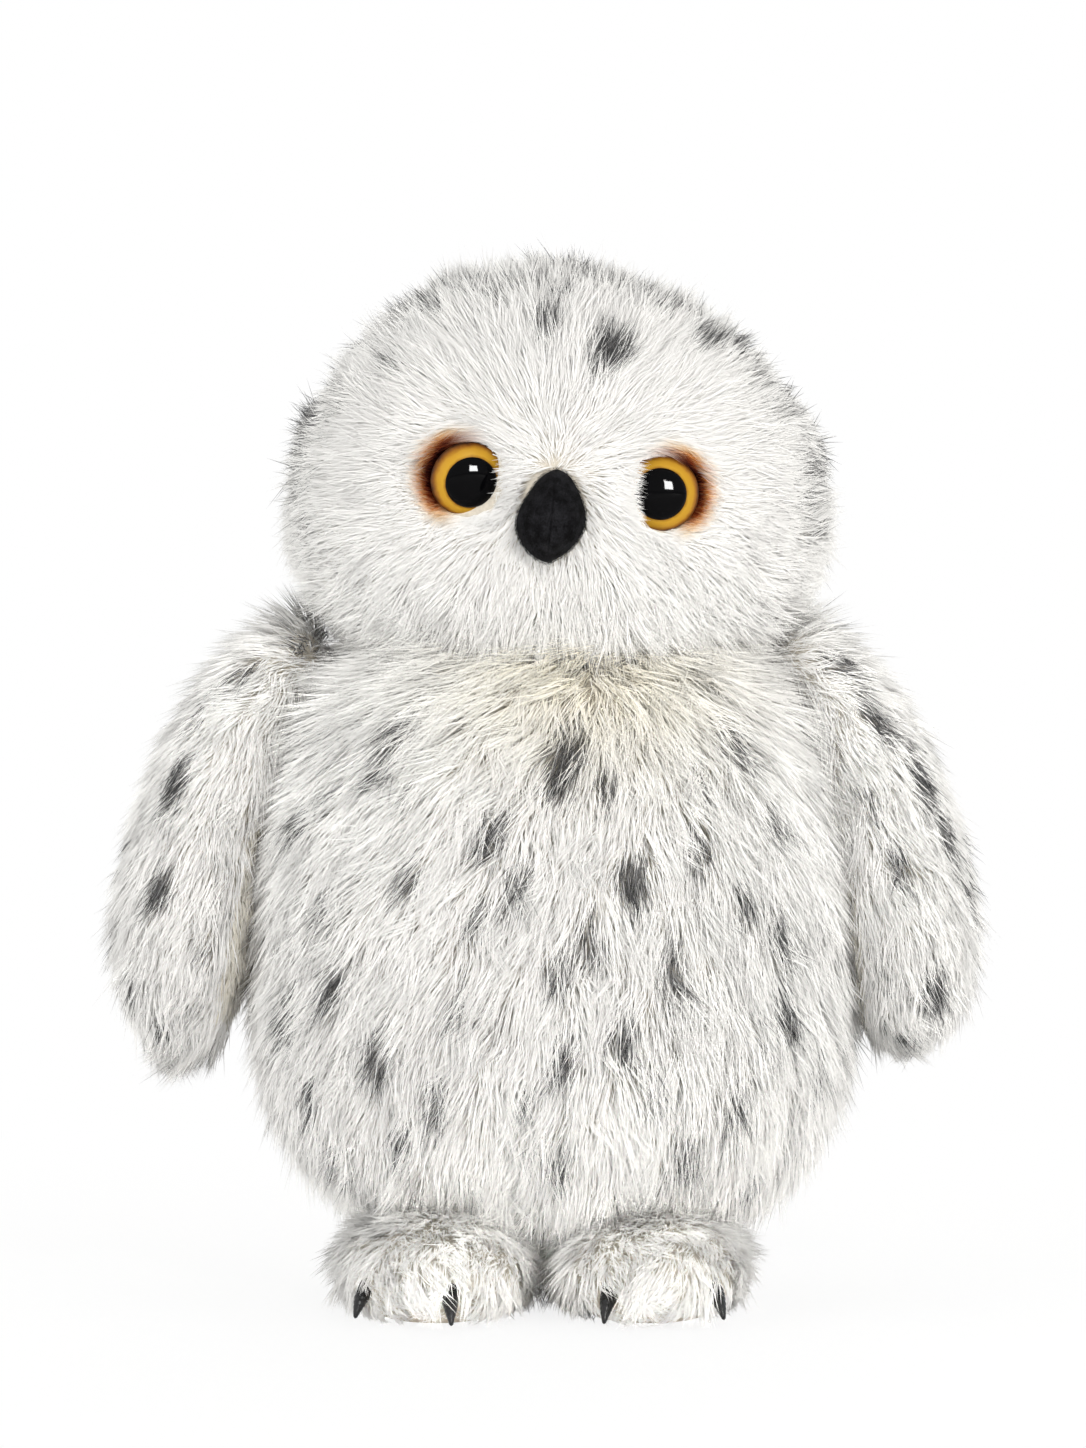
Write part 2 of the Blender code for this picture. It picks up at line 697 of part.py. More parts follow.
def build_claw(name, middle, turned_by):
    """A moulded claw whose flange lies behind the cloth. Returns the cutter of its pocket."""
    points, radii = claw_path(middle, turned_by)
    claw = add_piece(name, tube(name, points, radii), black_plastic)
    carry(torso, claw)
    start = points[0] - (points[1] - points[0]).normalized() * FIT_GAP
    end = points[-1] + (points[-1] - points[-2]).normalized() * FIT_GAP
    wide = [radius + FIT_GAP for radius in radii]
    flange_back = points[1] + (points[1] - points[0]).normalized() * FIT_GAP
    around = [start, flange_back, flange_back + (points[2] - points[1])] + points[3:-1] + [end]
    return mesh_cutter(name + "_pocket", tube(name + "_pocket", around, wide))


def mesh_cutter(name, curve):
    """A curve as a mesh, with the caps of its ends welded on."""
    guide = bpy.data.objects.new(name, curve)
    cutters.objects.link(guide)
    bpy.context.view_layer.update()
    graph = bpy.context.evaluated_depsgraph_get()
    made = bpy.data.meshes.new_from_object(guide.evaluated_get(graph))
    bpy.data.objects.remove(guide)
    welding = bmesh.new()
    welding.from_mesh(made)
    bmesh.ops.remove_doubles(welding, verts=welding.verts, dist=MERGE / 2)
    bmesh.ops.recalc_face_normals(welding, faces=welding.faces)
    welding.to_mesh(made)
    welding.free()
    return add_cutter(name, made)


def build_tail(body_clear):
    """A short leaf, sewn to the back along its upper end. Its own frame has +Z up its length."""
    seam_point = Vector((BODY_SHIFT, TAIL_SEAM_BACK, TAIL_SEAM_HEIGHT))
    turn_up = Matrix.Rotation(math.pi / 2 - TAIL_DROP, 4, "X")
    place = Matrix.Translation(seam_point) @ turn_up @ Matrix.Translation((0, 0, -TAIL_LENGTH))
    sizes = (TAIL_WIDTH, TAIL_THICKNESS, TAIL_LENGTH)
    form = shaped(tail_ring_shares, tail_end_shares, *sizes, place, LIMB_FACETS)
    hollow = form.drawn_in(TAIL_WALL).cutter("tail_hollow", INNER_LEVELS)
    inward = place.to_3x3() @ Vector((0, -1, 0))
    lining_seam = place @ Vector((0, TAIL_LINING_DEPTH - TAIL_THICKNESS / 2, 0))
    to_body, to_outside = seam("tail_seam", lining_seam, inward, 2 * TAIL_LENGTH + TAIL_WIDTH)
    outer = form.piece("tail_outer", long_pile)
    cut(outer, hollow, to_body, body_clear)
    lining = form.piece("tail_lining", short_pile)
    cut(lining, hollow, to_outside, body_clear)
    fill = form.drawn_in(TAIL_WALL + FIBRE_GAP).piece("tail_fill", fibre, INNER_LEVELS)
    cut(fill, body_clear)
    hinge = carrier("tail_hinge", seam_point, torso)
    carry(hinge, outer, lining, fill)


clear_scene()
owl = new_collection("plush_owl")
cutters = new_collection("cutters")
FACING_OUT = Matrix.Rotation(math.pi / 2, 4, "X")  # turns a piece's +Z out of the face

pivot = Vector((NECK_SHIFT, 0, NECK_HEIGHT))
torso = carrier("torso", Vector((0, 0, 0)))
neck = carrier("neck", pivot, torso)
head = carrier("head", pivot, neck)

under_head, over_body = groove_cutters()
neck_pocket = ball_cutter("neck_pocket", NECK_BALL_DIAMETER / 2 + NECK_GAP, pivot)

body_form = build_torso()
build_neck()
build_head()
clearance = body_form.drawn_in(-FIT_GAP).cutter("body_clearance")
for side_name, side in SIDES.items():
    build_wing(side_name, side, clearance)
build_foot("left", LEFT, LEFT_CLAW_TURNS, clearance)
build_foot("right", RIGHT, RIGHT_CLAW_TURNS, clearance)
build_tail(clearance)
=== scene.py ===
import math

import bpy
import numpy as np
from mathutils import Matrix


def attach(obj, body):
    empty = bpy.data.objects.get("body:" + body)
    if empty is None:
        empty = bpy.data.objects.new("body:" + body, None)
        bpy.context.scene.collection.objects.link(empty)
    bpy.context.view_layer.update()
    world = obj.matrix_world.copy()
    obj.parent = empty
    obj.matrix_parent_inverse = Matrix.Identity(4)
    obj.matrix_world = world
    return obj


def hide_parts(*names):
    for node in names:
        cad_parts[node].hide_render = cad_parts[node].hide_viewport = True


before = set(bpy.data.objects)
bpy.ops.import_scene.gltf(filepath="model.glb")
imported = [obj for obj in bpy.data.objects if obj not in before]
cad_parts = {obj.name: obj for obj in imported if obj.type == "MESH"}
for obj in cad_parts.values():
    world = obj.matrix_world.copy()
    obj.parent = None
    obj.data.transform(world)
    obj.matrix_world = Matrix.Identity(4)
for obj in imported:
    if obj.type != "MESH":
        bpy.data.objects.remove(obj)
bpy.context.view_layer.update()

# The stand that the owl is looked at on: a plain white floor, a camera with a long lens that looks
# a little down on it, level with the middle of the owl, and softboxes on all sides.
MM = 0.001
PHOTO_HEIGHT = 1448
MM_PER_PIXEL = 0.2872
LOOK_DOWN = math.radians(2.5)
CAMERA_DISTANCE = 2.4
CAMERA_AIM = (-0.0006, 0.0, 0.1665)
SENSOR = 36.0
WHITE = (1, 1, 1, 1)


def add_object(name, data):
    """An object at the origin, in the scene."""
    made = bpy.data.objects.new(name, data)
    bpy.context.scene.collection.objects.link(made)
    return made


def camera():
    """Looks down on its aim from a distance. The lens is the sensor's size times the distance, over
    the height that the photo shows at the owl."""
    data = bpy.data.cameras.new("camera")
    data.sensor_width = SENSOR
    data.lens = SENSOR * CAMERA_DISTANCE / (PHOTO_HEIGHT * MM_PER_PIXEL * MM)
    data.clip_end = 50
    made = add_object("camera", data)
    back = CAMERA_DISTANCE * math.cos(LOOK_DOWN)
    up = CAMERA_DISTANCE * math.sin(LOOK_DOWN)
    made.location = (CAMERA_AIM[0], CAMERA_AIM[1] - back, CAMERA_AIM[2] + up)
    made.rotation_euler = (math.pi / 2 - LOOK_DOWN, 0, 0)
    bpy.context.scene.camera = made


def linear(colour):
    """A hex colour as linear red, green, blue and 1: each channel is raised by the sRGB curve."""
    share = np.array([int(colour[k:k + 2], 16) for k in (1, 3, 5)]) / 255
    curved = np.where(share > 0.04045, ((share + 0.055) / 1.055) ** 2.4, share / 12.92)
    return (*curved.tolist(), 1.0)


def add_node(tree, kind, settings=(), **links):
    """One node with its settings. A link gives an input's name, with _ for a space, or _ and its
    number: a socket is joined to it and a value is set on it."""
    made = tree.nodes.new(kind)
    for name, value in dict(settings).items():
        setattr(made, name, value)
    for name, value in links.items():
        label = name.replace("_", " ")
        known = [socket for socket in made.inputs if socket.name == label and socket.enabled]
        socket = known[0] if known else made.inputs[int(name[1:])]
        if isinstance(value, bpy.types.NodeSocket):
            tree.links.new(value, socket)
        else:
            socket.default_value = value
    return made


def combine(tree, operation, first, second):
    """Two numbers as one."""
    return add_node(tree, "ShaderNodeMath", {"operation": operation}, _0=first, _1=second).outputs[0]


def multiply(tree, first, second):
    """The product of two colours."""
    made = add_node(
        tree, "ShaderNodeMix", {"data_type": "RGBA", "blend_type": "MULTIPLY"}, Factor=1.0)
    tree.links.new(first, made.inputs[6])
    tree.links.new(second, made.inputs[7])
    return made.outputs[2]


def noise(tree, scale, detail, **more):
    """A cloudy factor over the object, with scale features to the metre."""
    place = add_node(tree, "ShaderNodeTexCoord").outputs["Object"]
    made = add_node(tree, "ShaderNodeTexNoise", Vector=place, Scale=scale, Detail=detail, **more)
    return made.outputs["Fac"]


def remap(tree, factor, low, high):
    """A factor from 0 to 1 as a number from low to high."""
    return add_node(
        tree, "ShaderNodeMapRange", Value=factor, To_Min=low, To_Max=high).outputs["Result"]


def ramp(tree, factor, *stops):
    """A factor as a colour that blends from stop to stop, each a position and a colour."""
    made = add_node(tree, "ShaderNodeValToRGB", Fac=factor)
    ends = made.color_ramp.elements
    ends[0].position, ends[0].color = stops[0]
    ends[1].position, ends[1].color = stops[-1]
    for position, colour in stops[1:-1]:
        ends.new(position).color = colour
    return made.outputs["Color"]


def new_finish(name, roughness=0.5, specular=0.5):
    """A material with its shader and nothing else. Returns it, its tree and the shader."""
    made = bpy.data.materials.new(name)
    made.use_nodes = True
    shader = made.node_tree.nodes["Principled BSDF"]
    shader.inputs["Roughness"].default_value = roughness
    shader.inputs["Specular IOR Level"].default_value = specular
    return made, made.node_tree, shader


def join(tree, shader, label, socket):
    """Gives an input of the shader what a socket says."""
    tree.links.new(socket, shader.inputs[label])


def bump(tree, shader, height, strength, high):
    """Bumps as high as high where the height factor is 1."""
    made = add_node(tree, "ShaderNodeBump", Strength=strength, Distance=high, Height=height)
    join(tree, shader, "Normal", made.outputs["Normal"])


def softbox(name, place, aim, width, height, watts, colour, beam=180, in_gloss=False):
    """A rectangular lamp at place that faces aim, behind a grid that narrows its beam to an angle in
    degrees. in_gloss says whether it is mirrored in gloss."""
    data = bpy.data.lights.new(name, "AREA")
    data.shape = "RECTANGLE"
    data.size, data.size_y = width, height
    data.energy = watts
    data.color = linear(colour)[:3]
    data.spread = math.radians(beam)
    made = add_object(name, data)
    made.visible_glossy = in_gloss
    made.location = place
    from_aim = made.location - type(made.location)(aim)
    made.rotation_euler = from_aim.to_track_quat("Z", "Y").to_euler()
    return made


def floor():
    """To the camera, white that glows: all of it past 0.55 m from the owl's middle, and within
    0.12 m 0.86 of it, where the rest is the painted board with the owl's shadow."""
    finish, tree, shader = new_finish("painted_white_board", 0.85, 0.1)
    shader.inputs["Base Color"].default_value = linear("#f2f2f2")
    lit = add_node(tree, "ShaderNodeEmission", Strength=1.0, Color=WHITE)
    seen = add_node(tree, "ShaderNodeLightPath").outputs["Is Camera Ray"]
    place = add_node(tree, "ShaderNodeTexCoord").outputs["Object"]
    away = add_node(tree, "ShaderNodeVectorMath", {"operation": "LENGTH"}, Vector=place)
    clean = add_node(
        tree, "ShaderNodeMapRange", {"interpolation_type": "SMOOTHSTEP"}, Value=away.outputs["Value"],
        From_Min=0.12, From_Max=0.55, To_Min=0.86, To_Max=1.0)
    share = combine(tree, "MULTIPLY", seen, clean.outputs["Result"])
    mixed = add_node(
        tree, "ShaderNodeMixShader", _0=share, _1=shader.outputs[0], _2=lit.outputs[0])
    tree.links.new(mixed.outputs[0], tree.nodes["Material Output"].inputs["Surface"])
    reach = 6.0
    corners = [(-reach, -reach, 0), (reach, -reach, 0), (reach, reach, 0), (-reach, reach, 0)]
    data = bpy.data.meshes.new("floor")
    data.from_pydata(corners, [], [(0, 1, 2, 3)])
    data.materials.append(finish)
    add_object("floor", data)


def surroundings():
    """White to the camera, to clear pieces and to gloss, and a softer white as light."""
    world = bpy.data.worlds.new("studio")
    bpy.context.scene.world = world
    world.use_nodes = True
    tree = world.node_tree
    tree.nodes.clear()
    path = add_node(tree, "ShaderNodeLightPath").outputs
    seen = combine(tree, "MAXIMUM", path["Is Camera Ray"], path["Is Transmission Ray"])
    seen = combine(tree, "MAXIMUM", seen, path["Is Glossy Ray"])
    white = add_node(tree, "ShaderNodeBackground", Color=WHITE, Strength=1.0)
    soft = add_node(tree, "ShaderNodeBackground", Color=linear("#f9f9f8"), Strength=0.74)
    both = add_node(tree, "ShaderNodeMixShader", _0=seen, _1=soft.outputs[0], _2=white.outputs[0])
    add_node(tree, "ShaderNodeOutputWorld", Surface=both.outputs[0])


bpy.context.scene.view_settings.view_transform = "Standard"
camera()
floor()
surroundings()
softbox("key_lamp", (0.45, -1.80, 0.95), (0, 0, 0.16), 0.18, 0.18, 9.5, "#fffdfa", in_gloss=True)
softbox("left_lamp", (-1.25, -1.35, 0.45), (0, 0, 0.13), 1.0, 1.0, 14.0, "#fffefb")
softbox("right_lamp", (1.30, -1.40, 0.30), (0, 0, 0.14), 0.9, 0.9, 17.6, "#fffdf9")
softbox("low_lamp", (0.10, -1.70, 0.10), (0, 0, -0.04), 0.5, 0.1, 0.19, "#fffdf9", beam=9)
softbox("throat_lamp", (0.03, -1.30, 0.04), (0.004, -0.05, 0.155), 0.3, 0.1, 0.015, "#fffdf6", beam=5)
softbox("top_lamp", (0.0, 0.15, 1.5), (0, 0, 0.2), 1.1, 0.8, 1.2, "#ffffff")
softbox("back_lamp", (0.3, 2.0, 0.7), (0, 0, 0.15), 1.2, 1.2, 22.0, "#fffdfa")

# The window of the room: its light is lost on the fur, and only the polished eyes mirror it.
window_lamp = softbox(
    "window_lamp", (0.75, -1.90, 0.62), (0, 0, 0.24), 0.66, 0.66, 300.0, "#ffffff", in_gloss=True)
window_lamp.visible_diffuse = False
mirrored_in = bpy.data.collections.new("mirrored_in")
window_lamp.light_linking.receiver_collection = mirrored_in


# Body cover: long white modacrylic pile on a knitted backing, sewn from a front, a back and a base
# panel and stuffed until it is round. The backing is one padded form under the fur. The pile is
# brushed out from the neck, hangs down the sides, and is printed with dark grey spots.
def egg(middle, wide, deep, rise, drop, top_power, low_power, drift=None, shape=None):
    """A rounded form with sizes in millimetres, as a function of around, from 0 to 1, and along, from
    0 at the bottom to 1 at the top. With c the cosine and s the sine of the polar angle, the height
    is middle + rise * |c|^(2/p), and the half width and depth are the form's, times s. Drift moves
    the middle with height, and shape bends the whole."""
    middle = metres(*middle)
    wide, deep, rise, drop = (size * MM for size in (wide, deep, rise, drop))

    def surface(around, along):
        around, along = np.broadcast_arrays(around, along)
        polar = np.pi * (1 - along)
        c, s = np.cos(polar), np.sin(polar)
        power = np.where(c > 0, top_power, low_power)
        z = middle[2] + np.sign(c) * np.where(c > 0, rise, drop) * np.abs(c) ** (2 / power)
        turn = 2 * np.pi * around
        drift_x, drift_y = drift(z) if drift else (0, 0)
        x = middle[0] + drift_x + wide * s * np.sin(turn)
        y = middle[1] + drift_y - deep * s * np.cos(turn)
        points = np.stack([x, y, z], -1)
        return shape(points) if shape else points
    return surface


def unit(vectors):
    """Each vector over its length."""
    return vectors / np.maximum(np.linalg.norm(vectors, axis=-1, keepdims=True), 1e-12)


def facing(surface, around, along):
    """Points, outward normals and area per step of both parameters, by differences."""
    step = 1e-4
    low, high = np.clip(along - step, 1e-5, 1), np.clip(along + step, 0, 1 - 1e-5)
    d_around = (surface(around + step, along) - surface(around - step, along)) / (2 * step)
    d_along = (surface(around, high) - surface(around, low)) / (high - low)[..., None]
    crossed = np.cross(d_around, d_along)
    return surface(around, along), unit(crossed), np.linalg.norm(crossed, axis=-1)


def mesh_object(name, points, faces, finish):
    """A smooth object from arrays of corners and of triangles."""
    data = bpy.data.meshes.new(name)
    data.vertices.add(len(points))
    data.vertices.foreach_set("co", np.asarray(points, np.float32).ravel())
    data.loops.add(faces.size)
    data.loops.foreach_set("vertex_index", faces.astype(np.int32).ravel())
    data.polygons.add(len(faces))
    data.polygons.foreach_set("loop_start", np.arange(0, faces.size, 3, dtype=np.int32))
    data.update(calc_edges=True)
    data.polygons.foreach_set("use_smooth", np.ones(len(faces), bool))
    data.materials.append(finish)
    return add_object(name, data)


def write_points(made, name, kind, field, values):
    """Keeps values for the points of an object, as an attribute of its mesh."""
    layer = made.data.attributes.new(name, kind, "POINT")
    layer.data.foreach_set(field, values.astype(np.float32).ravel())


def opaque(colours):
    """Colours with a fourth channel of 1."""
    return np.concatenate([colours, np.ones((*colours.shape[:-1], 1))], -1)


def stand_in(made, body, *solids):
    """Lets a piece ride on a body in the place of solids, which it hides."""
    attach(made, body)
    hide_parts(*solids)


def closed_grid(rows, columns):
    """Triangles of a grid whose columns join up, with a pole under its first row and one over its
    last. The poles are the last two points."""
    k, j = np.meshgrid(np.arange(rows - 1), np.arange(columns), indexing="ij")
    here, beside = k * columns + j, k * columns + (j + 1) % columns
    above, across = here + columns, beside + columns
    ring = np.arange(columns)
    next_ring = (ring + 1) % columns
    low, high = np.full((2, columns), [[rows * columns], [rows * columns + 1]])
    top = (rows - 1) * columns
    return np.concatenate([
        np.stack([here, beside, across], -1).reshape(-1, 3),
        np.stack([here, across, above], -1).reshape(-1, 3),
        np.stack([low, next_ring, ring], -1),
        np.stack([high, top + ring, top + next_ring], -1)])


def skin_object(name, surface, finish, rows=64, columns=96):
    """The surface as one closed mesh."""
    v, u = np.meshgrid((np.arange(rows) + 0.5) / rows, np.arange(columns) / columns, indexing="ij")
    grid = surface(u, v).reshape(-1, 3)
    ends = surface(np.zeros(2), np.array([0.0, 1.0]))
    return mesh_object(name, np.concatenate([grid, ends]), closed_grid(rows, columns), finish)


def stuffed(name, body, solids, surface, finish, fill, **more):
    """A stuffed cover under its pile, as one closed padded form."""
    made = skin_object(name, surface, finish, **more)
    stand_in(made, body, *solids)
    return made


def spread(surface, count):
    """About count parameters, evenly spread over the surface: along steps through equal areas, and
    around turns on by the golden ratio."""
    steps = (np.arange(400) + 0.5) / 400
    _, _, area = facing(surface, np.linspace(0, 1, 24, endpoint=False)[:, None], steps[None, :])
    total = np.cumsum(area.mean(0))
    order = np.arange(count)
    along = np.interp((order + 0.5) / count * total[-1], total, steps)
    return (order * 0.6180339887) % 1, along


def waves(points, length, seed):
    """A smooth field: the sum of sines along six random ways, with wavelengths near length, over
    the root of six. It makes the pile part and gather as brushed fur does."""
    rng = np.random.default_rng(seed)
    ways = unit(rng.normal(size=(6, 3))) * 2 * np.pi / (length * rng.uniform(0.7, 1.4, (6, 1)))
    return np.sin(points @ ways.T + rng.uniform(0, 2 * np.pi, 6)).sum(1) / math.sqrt(6)


# How far the shading normals of a lock lean at random and with the waves, how much of a normal is
# its lock's and not its strand's, and how much its upward part counts. Then the levels of the
# points of a strand, the share of strays, a strand's width, and its gap to the floor.
LOCK_LEANING = 0.10
WAVE_LEANING = 0.20
SKIN_SHARE = 0.92
UPWARD_SHARE = 0.55
LEVELS = (0.0, 0.45, 1.0)
STRAY_SHARE = 0.14
STRAND_WIDTH = 0.36 * MM
FLOOR_GAP = 0.4 * MM


def brushed_strands(surface, count, keep, flow, length, rng, per_lock, spreading=2.6 * MM,
                    lean=(40, 6), turning=0.24, closing=(0.15, 0.75), puff=None):
    """Points of strands at their root, middle and tip, with the way, the skin's normal and the
    shading normal of each, in locks that start evenly spread over the surface.

    Each strand climbs off the surface at the first angle of lean and lies down to the second by its
    tip. With angle(s) going steadily from one to the other, its height is the integral of the sine
    and its run the integral of the cosine, times its length. The strands of a lock start within
    spreading and close in on its tip, apart from a few strays. Puff gives the degrees that a root
    stands steeper. Each lock turns from the flow by about turning, together with its neighbours,
    and its shading normal leans a little with them."""
    roots, normals, _ = facing(surface, *spread(surface, count))
    kept = keep(roots, normals)
    roots, normals = roots[kept], normals[kept]
    many = len(roots)
    way = flow(roots, normals)
    way = unit(way - (way * normals).sum(-1, keepdims=True) * normals)
    side = np.cross(normals, way)
    turned = turning * (0.5 * rng.normal(0, 1, many) + 1.1 * waves(roots, 17 * MM, 1))[:, None]
    way = way * np.cos(turned) + side * np.sin(turned)
    side = np.cross(normals, way)
    size = length(roots) * rng.uniform(0.85, 1.12, many) * (1 + 0.10 * waves(roots, 14 * MM, 2))
    first = np.radians(lean[0] + rng.normal(0, 4, many) + 6 * waves(roots, 13 * MM, 3))
    last = np.radians(lean[1] + rng.normal(0, 7, many))
    if puff:
        raised = np.radians(puff(roots))
        first, last = first + raised, last + 0.7 * raised
    bend = rng.normal(0, 0.16, many)
    swell = way * waves(roots, 12 * MM, 4)[:, None] + side * waves(roots, 12 * MM, 5)[:, None]
    level = normals * (1, 1, UPWARD_SHARE)
    leaning = unit(level + rng.normal(0, LOCK_LEANING, (many, 3)) + WAVE_LEANING * swell)

    roots, normals, way, side, leaning, size, first, last, bend = (
        np.repeat(part, per_lock, axis=0)
        for part in (roots, normals, way, side, leaning, size, first, last, bend))
    total = len(roots)
    radius = spreading * np.sqrt(rng.uniform(0, 1, total))
    angle = rng.uniform(0, 2 * np.pi, total)
    stray = rng.uniform(0, 1, total) < STRAY_SHARE
    closing = np.where(stray, rng.uniform(-1.1, 0.2, total), rng.uniform(*closing, total))
    size = size * np.where(stray, rng.uniform(0.85, 1.12, total), rng.uniform(0.7, 1.06, total))
    first = first + rng.normal(0, 0.07, total)
    last = last + rng.normal(0, 0.10, total) + np.where(stray, rng.uniform(0.05, 0.35, total), 0)
    bend = bend + rng.normal(0, 0.07, total)
    rate = np.where(np.abs(last - first) < 1e-3, 1e-3, last - first)
    points = []
    for s in LEVELS:
        at = first + (last - first) * s
        height = size * (np.cos(first) - np.cos(at)) / rate
        run = size * (np.sin(at) - np.sin(first)) / rate
        apart = radius * (1 - closing * s)
        forward = run + apart * np.cos(angle)
        sideways = apart * np.sin(angle) + bend * run * s
        points.append(
            roots + normals * height[:, None] + way * forward[:, None] + side * sideways[:, None])
    return np.stack(points, 1), way, normals, leaning


def pile_object(name, points, normals, leaning, width, tint, finish, softness):
    """Strands as closed spindles, in one mesh: a root, three corners round the middle level and a
    tip. tint gives the colour at each level. The shading normal of a corner is its direction from
    the strand's middle, mixed with the lock's by softness, so that light spreads as in fur."""
    root, middle, tip = points[:, 0], points[:, 1], points[:, 2]
    axis = unit(tip - root)
    across = unit(np.cross(axis, normals))
    over = np.cross(axis, across)
    turns = (2 * np.pi * np.arange(3) / 3 - np.pi / 2)[None, :, None]
    ring = across[:, None] * np.cos(turns) + over[:, None] * np.sin(turns)
    corners = middle[:, None] + ring * (width / 2)[:, None, None]
    grid = np.concatenate([root[:, None], corners, tip[:, None]], 1)
    grid[..., 2] = np.maximum(grid[..., 2], FLOOR_GAP)
    faces = [[0, 2, 1], [0, 3, 2], [0, 1, 3], [1, 2, 4], [2, 3, 4], [3, 1, 4]]
    faces = (np.arange(len(root))[:, None, None] * 5 + np.array(faces)[None]).reshape(-1, 3)
    made = mesh_object(name, grid.reshape(-1, 3), faces, finish)
    own = np.concatenate([normals[:, None], ring, normals[:, None]], 1)
    mixed = unit(own * (1 - softness) + leaning[:, None] * softness)
    write_points(made, "custom_normal", "FLOAT_VECTOR", "vector", mixed)
    write_points(made, "pile_tint", "FLOAT_COLOR", "color", opaque(tint[:, [0, 1, 1, 1, 2]]))
    return made


def dyed_pile(name):
    """White modacrylic pile, extruded as fine smooth strands, brushed and printed. It gives a soft
    white with a slight gloss along each strand. The tint of each strand is in its points."""
    made, tree, shader = new_finish(name, 0.7, 0.12)
    tint = add_node(tree, "ShaderNodeAttribute", {"attribute_name": "pile_tint"})
    clouded = remap(tree, noise(tree, 28.0, 2.0), 0.975, 1.0)
    join(tree, shader, "Base Color", multiply(tree, tint.outputs["Color"], clouded))
    shader.inputs["Sheen Weight"].default_value = 0.10
    return made


def knit_backing(name, colour, tint=None):
    """Knitted polyester backing with the stubs of the pile: warm white, with a fine uneven nap. Tint
    names the points' attribute that holds airbrushed colour, where there is one."""
    made, tree, shader = new_finish(name, 0.95, 0.1)
    nap = noise(tree, 900.0, 4.0)
    dark = [0.72 * channel for channel in linear(colour)[:3]] + [1]
    shade = ramp(tree, nap, (0.3, dark), (1.0, linear(colour)))
    if tint:
        sprayed = add_node(tree, "ShaderNodeAttribute", {"attribute_name": tint})
        shade = multiply(tree, shade, sprayed.outputs["Color"])
    join(tree, shader, "Base Color", shade)
    bump(tree, shader, nap, 0.6, 0.6 * MM)
    return made


def tint_of(colour):
    """A hex colour as an array of three linear channels."""
    return np.array(linear(colour)[:3])


# Colours of the pile, the share of printed strands that are dark and not grey, the painted shade
# that darkens and warms the roots as the depth of the pile would, and how much of the print the
# root, the middle and the tip of a strand take.
WHITE_PILE = tint_of("#fefdfb")
CREAM_PILE = tint_of("#fdf6e2")
GREY_PILE = tint_of("#707072")
DARK_PILE = tint_of("#1d1d20")
DARK_SHARE = 0.85
ROOT_PAINTED_SHADE = np.array((0.96, 0.925, 0.86))
PRINT_BY_LEVEL = np.array([0.25, 0.9, 1.0])
BACKING = "#efe6d6"

white_pile = dyed_pile("brushed_modacrylic_pile")
long_backing = knit_backing("knitted_backing", BACKING)


def smooth_step(value, low, high):
    """0 below low, 1 above high, and an even S between."""
    t = np.clip((value - low) / (high - low), 0, 1)
    return t * t * (3 - 2 * t)


def even(value):
    """The same value at every point."""
    return lambda points: np.full(len(points), value)


def climb(points, axis, low, high):
    """An even S from 0 to 1, as a coordinate goes from low to high millimetres."""
    return smooth_step(points[..., axis], low * MM, high * MM)


def metres(*lengths):
    """Lengths in millimetres as an array in metres."""
    return np.array(lengths) * MM


def bell(points, middle, reach):
    """exp(-r^2), with r the distance from middle in reaches, all in millimetres. An endless reach
    leaves a coordinate out."""
    return np.exp(-(((points - metres(*middle)) / metres(*reach)) ** 2).sum(-1))


def brushed(source, pull=(0, 0, 0), share=even(1.0)):
    """Pile that lies away from a source, plus a pull where share says."""
    return lambda points, normals: unit(points - source) + np.array(pull) * share(points)[:, None]


def lying(*way):
    """Pile that lies one way all over."""
    return lambda points, normals: normals * 0 + np.array(way)


def between(axis, low, high):
    """Picks the roots whose coordinate on an axis is between two values in millimetres."""
    return lambda p: (p[:, axis] >= low * MM) & (p[:, axis] < high * MM)


# Spots on the front of the body: right of the middle, height, half length and half width in
# millimetres, and how dark.
BODY_SPOTS = np.array([
    (-39, 166, 8, 4, 0.9), (-43, 157, 7, 4, 0.7), (-34, 151, 6, 3, 0.6), (7, 160, 12, 5, 1.0),
    (17, 152, 7, 4, 0.7), (50, 165, 8, 4, 0.9), (42, 156, 6, 3, 0.6), (-14, 140, 9, 4, 0.8),
    (-37, 127, 7, 3.5, 0.7), (-8, 126, 7, 4, 0.8), (-17, 118, 8, 3.5, 0.7), (24, 128, 8, 4.5, 1.0),
    (42, 135, 7, 4, 0.8), (12, 113, 8, 4, 0.8), (5, 101, 8, 4, 0.7), (36, 102, 10, 4, 0.8),
    (-57, 97, 10, 4, 0.9), (-71, 87, 9, 4, 0.9), (-47, 78, 9, 4, 0.9), (-31, 64, 8, 4, 0.8),
    (-40, 53, 8, 4, 0.9), (21, 84, 9, 4, 0.9), (7, 78, 8, 4, 0.8), (66, 88, 9, 4, 0.9),
    (52, 62, 9, 4, 0.8), (4, 48, 8, 4, 0.7), (38, 50, 9, 4, 0.8), (66, 110, 8, 4, 0.7),
    (-68, 140, 8, 4, 0.7), (-62, 118, 8, 4, 0.7), (62, 142, 7, 3.5, 0.6), (55, 120, 8, 4, 0.7),
    (-24, 92, 8, 3.5, 0.6), (-66, 66, 8, 4, 0.8), (-58, 46, 8, 4, 0.8), (28, 36, 7, 3.5, 0.6),
    (-20, 40, 7, 3.5, 0.6), (58, 40, 8, 4, 0.7), (76, 70, 8, 4, 0.7), (-5, 64, 7, 3.5, 0.5),
    (-56, 150, 6, 3.5, 0.5), (-60, 168, 7, 3.5, 0.6), (30, 68, 7, 3.5, 0.6),
])
SPOT_LIFT = 3.2 * MM  # how high over the skin the pile shows a spot


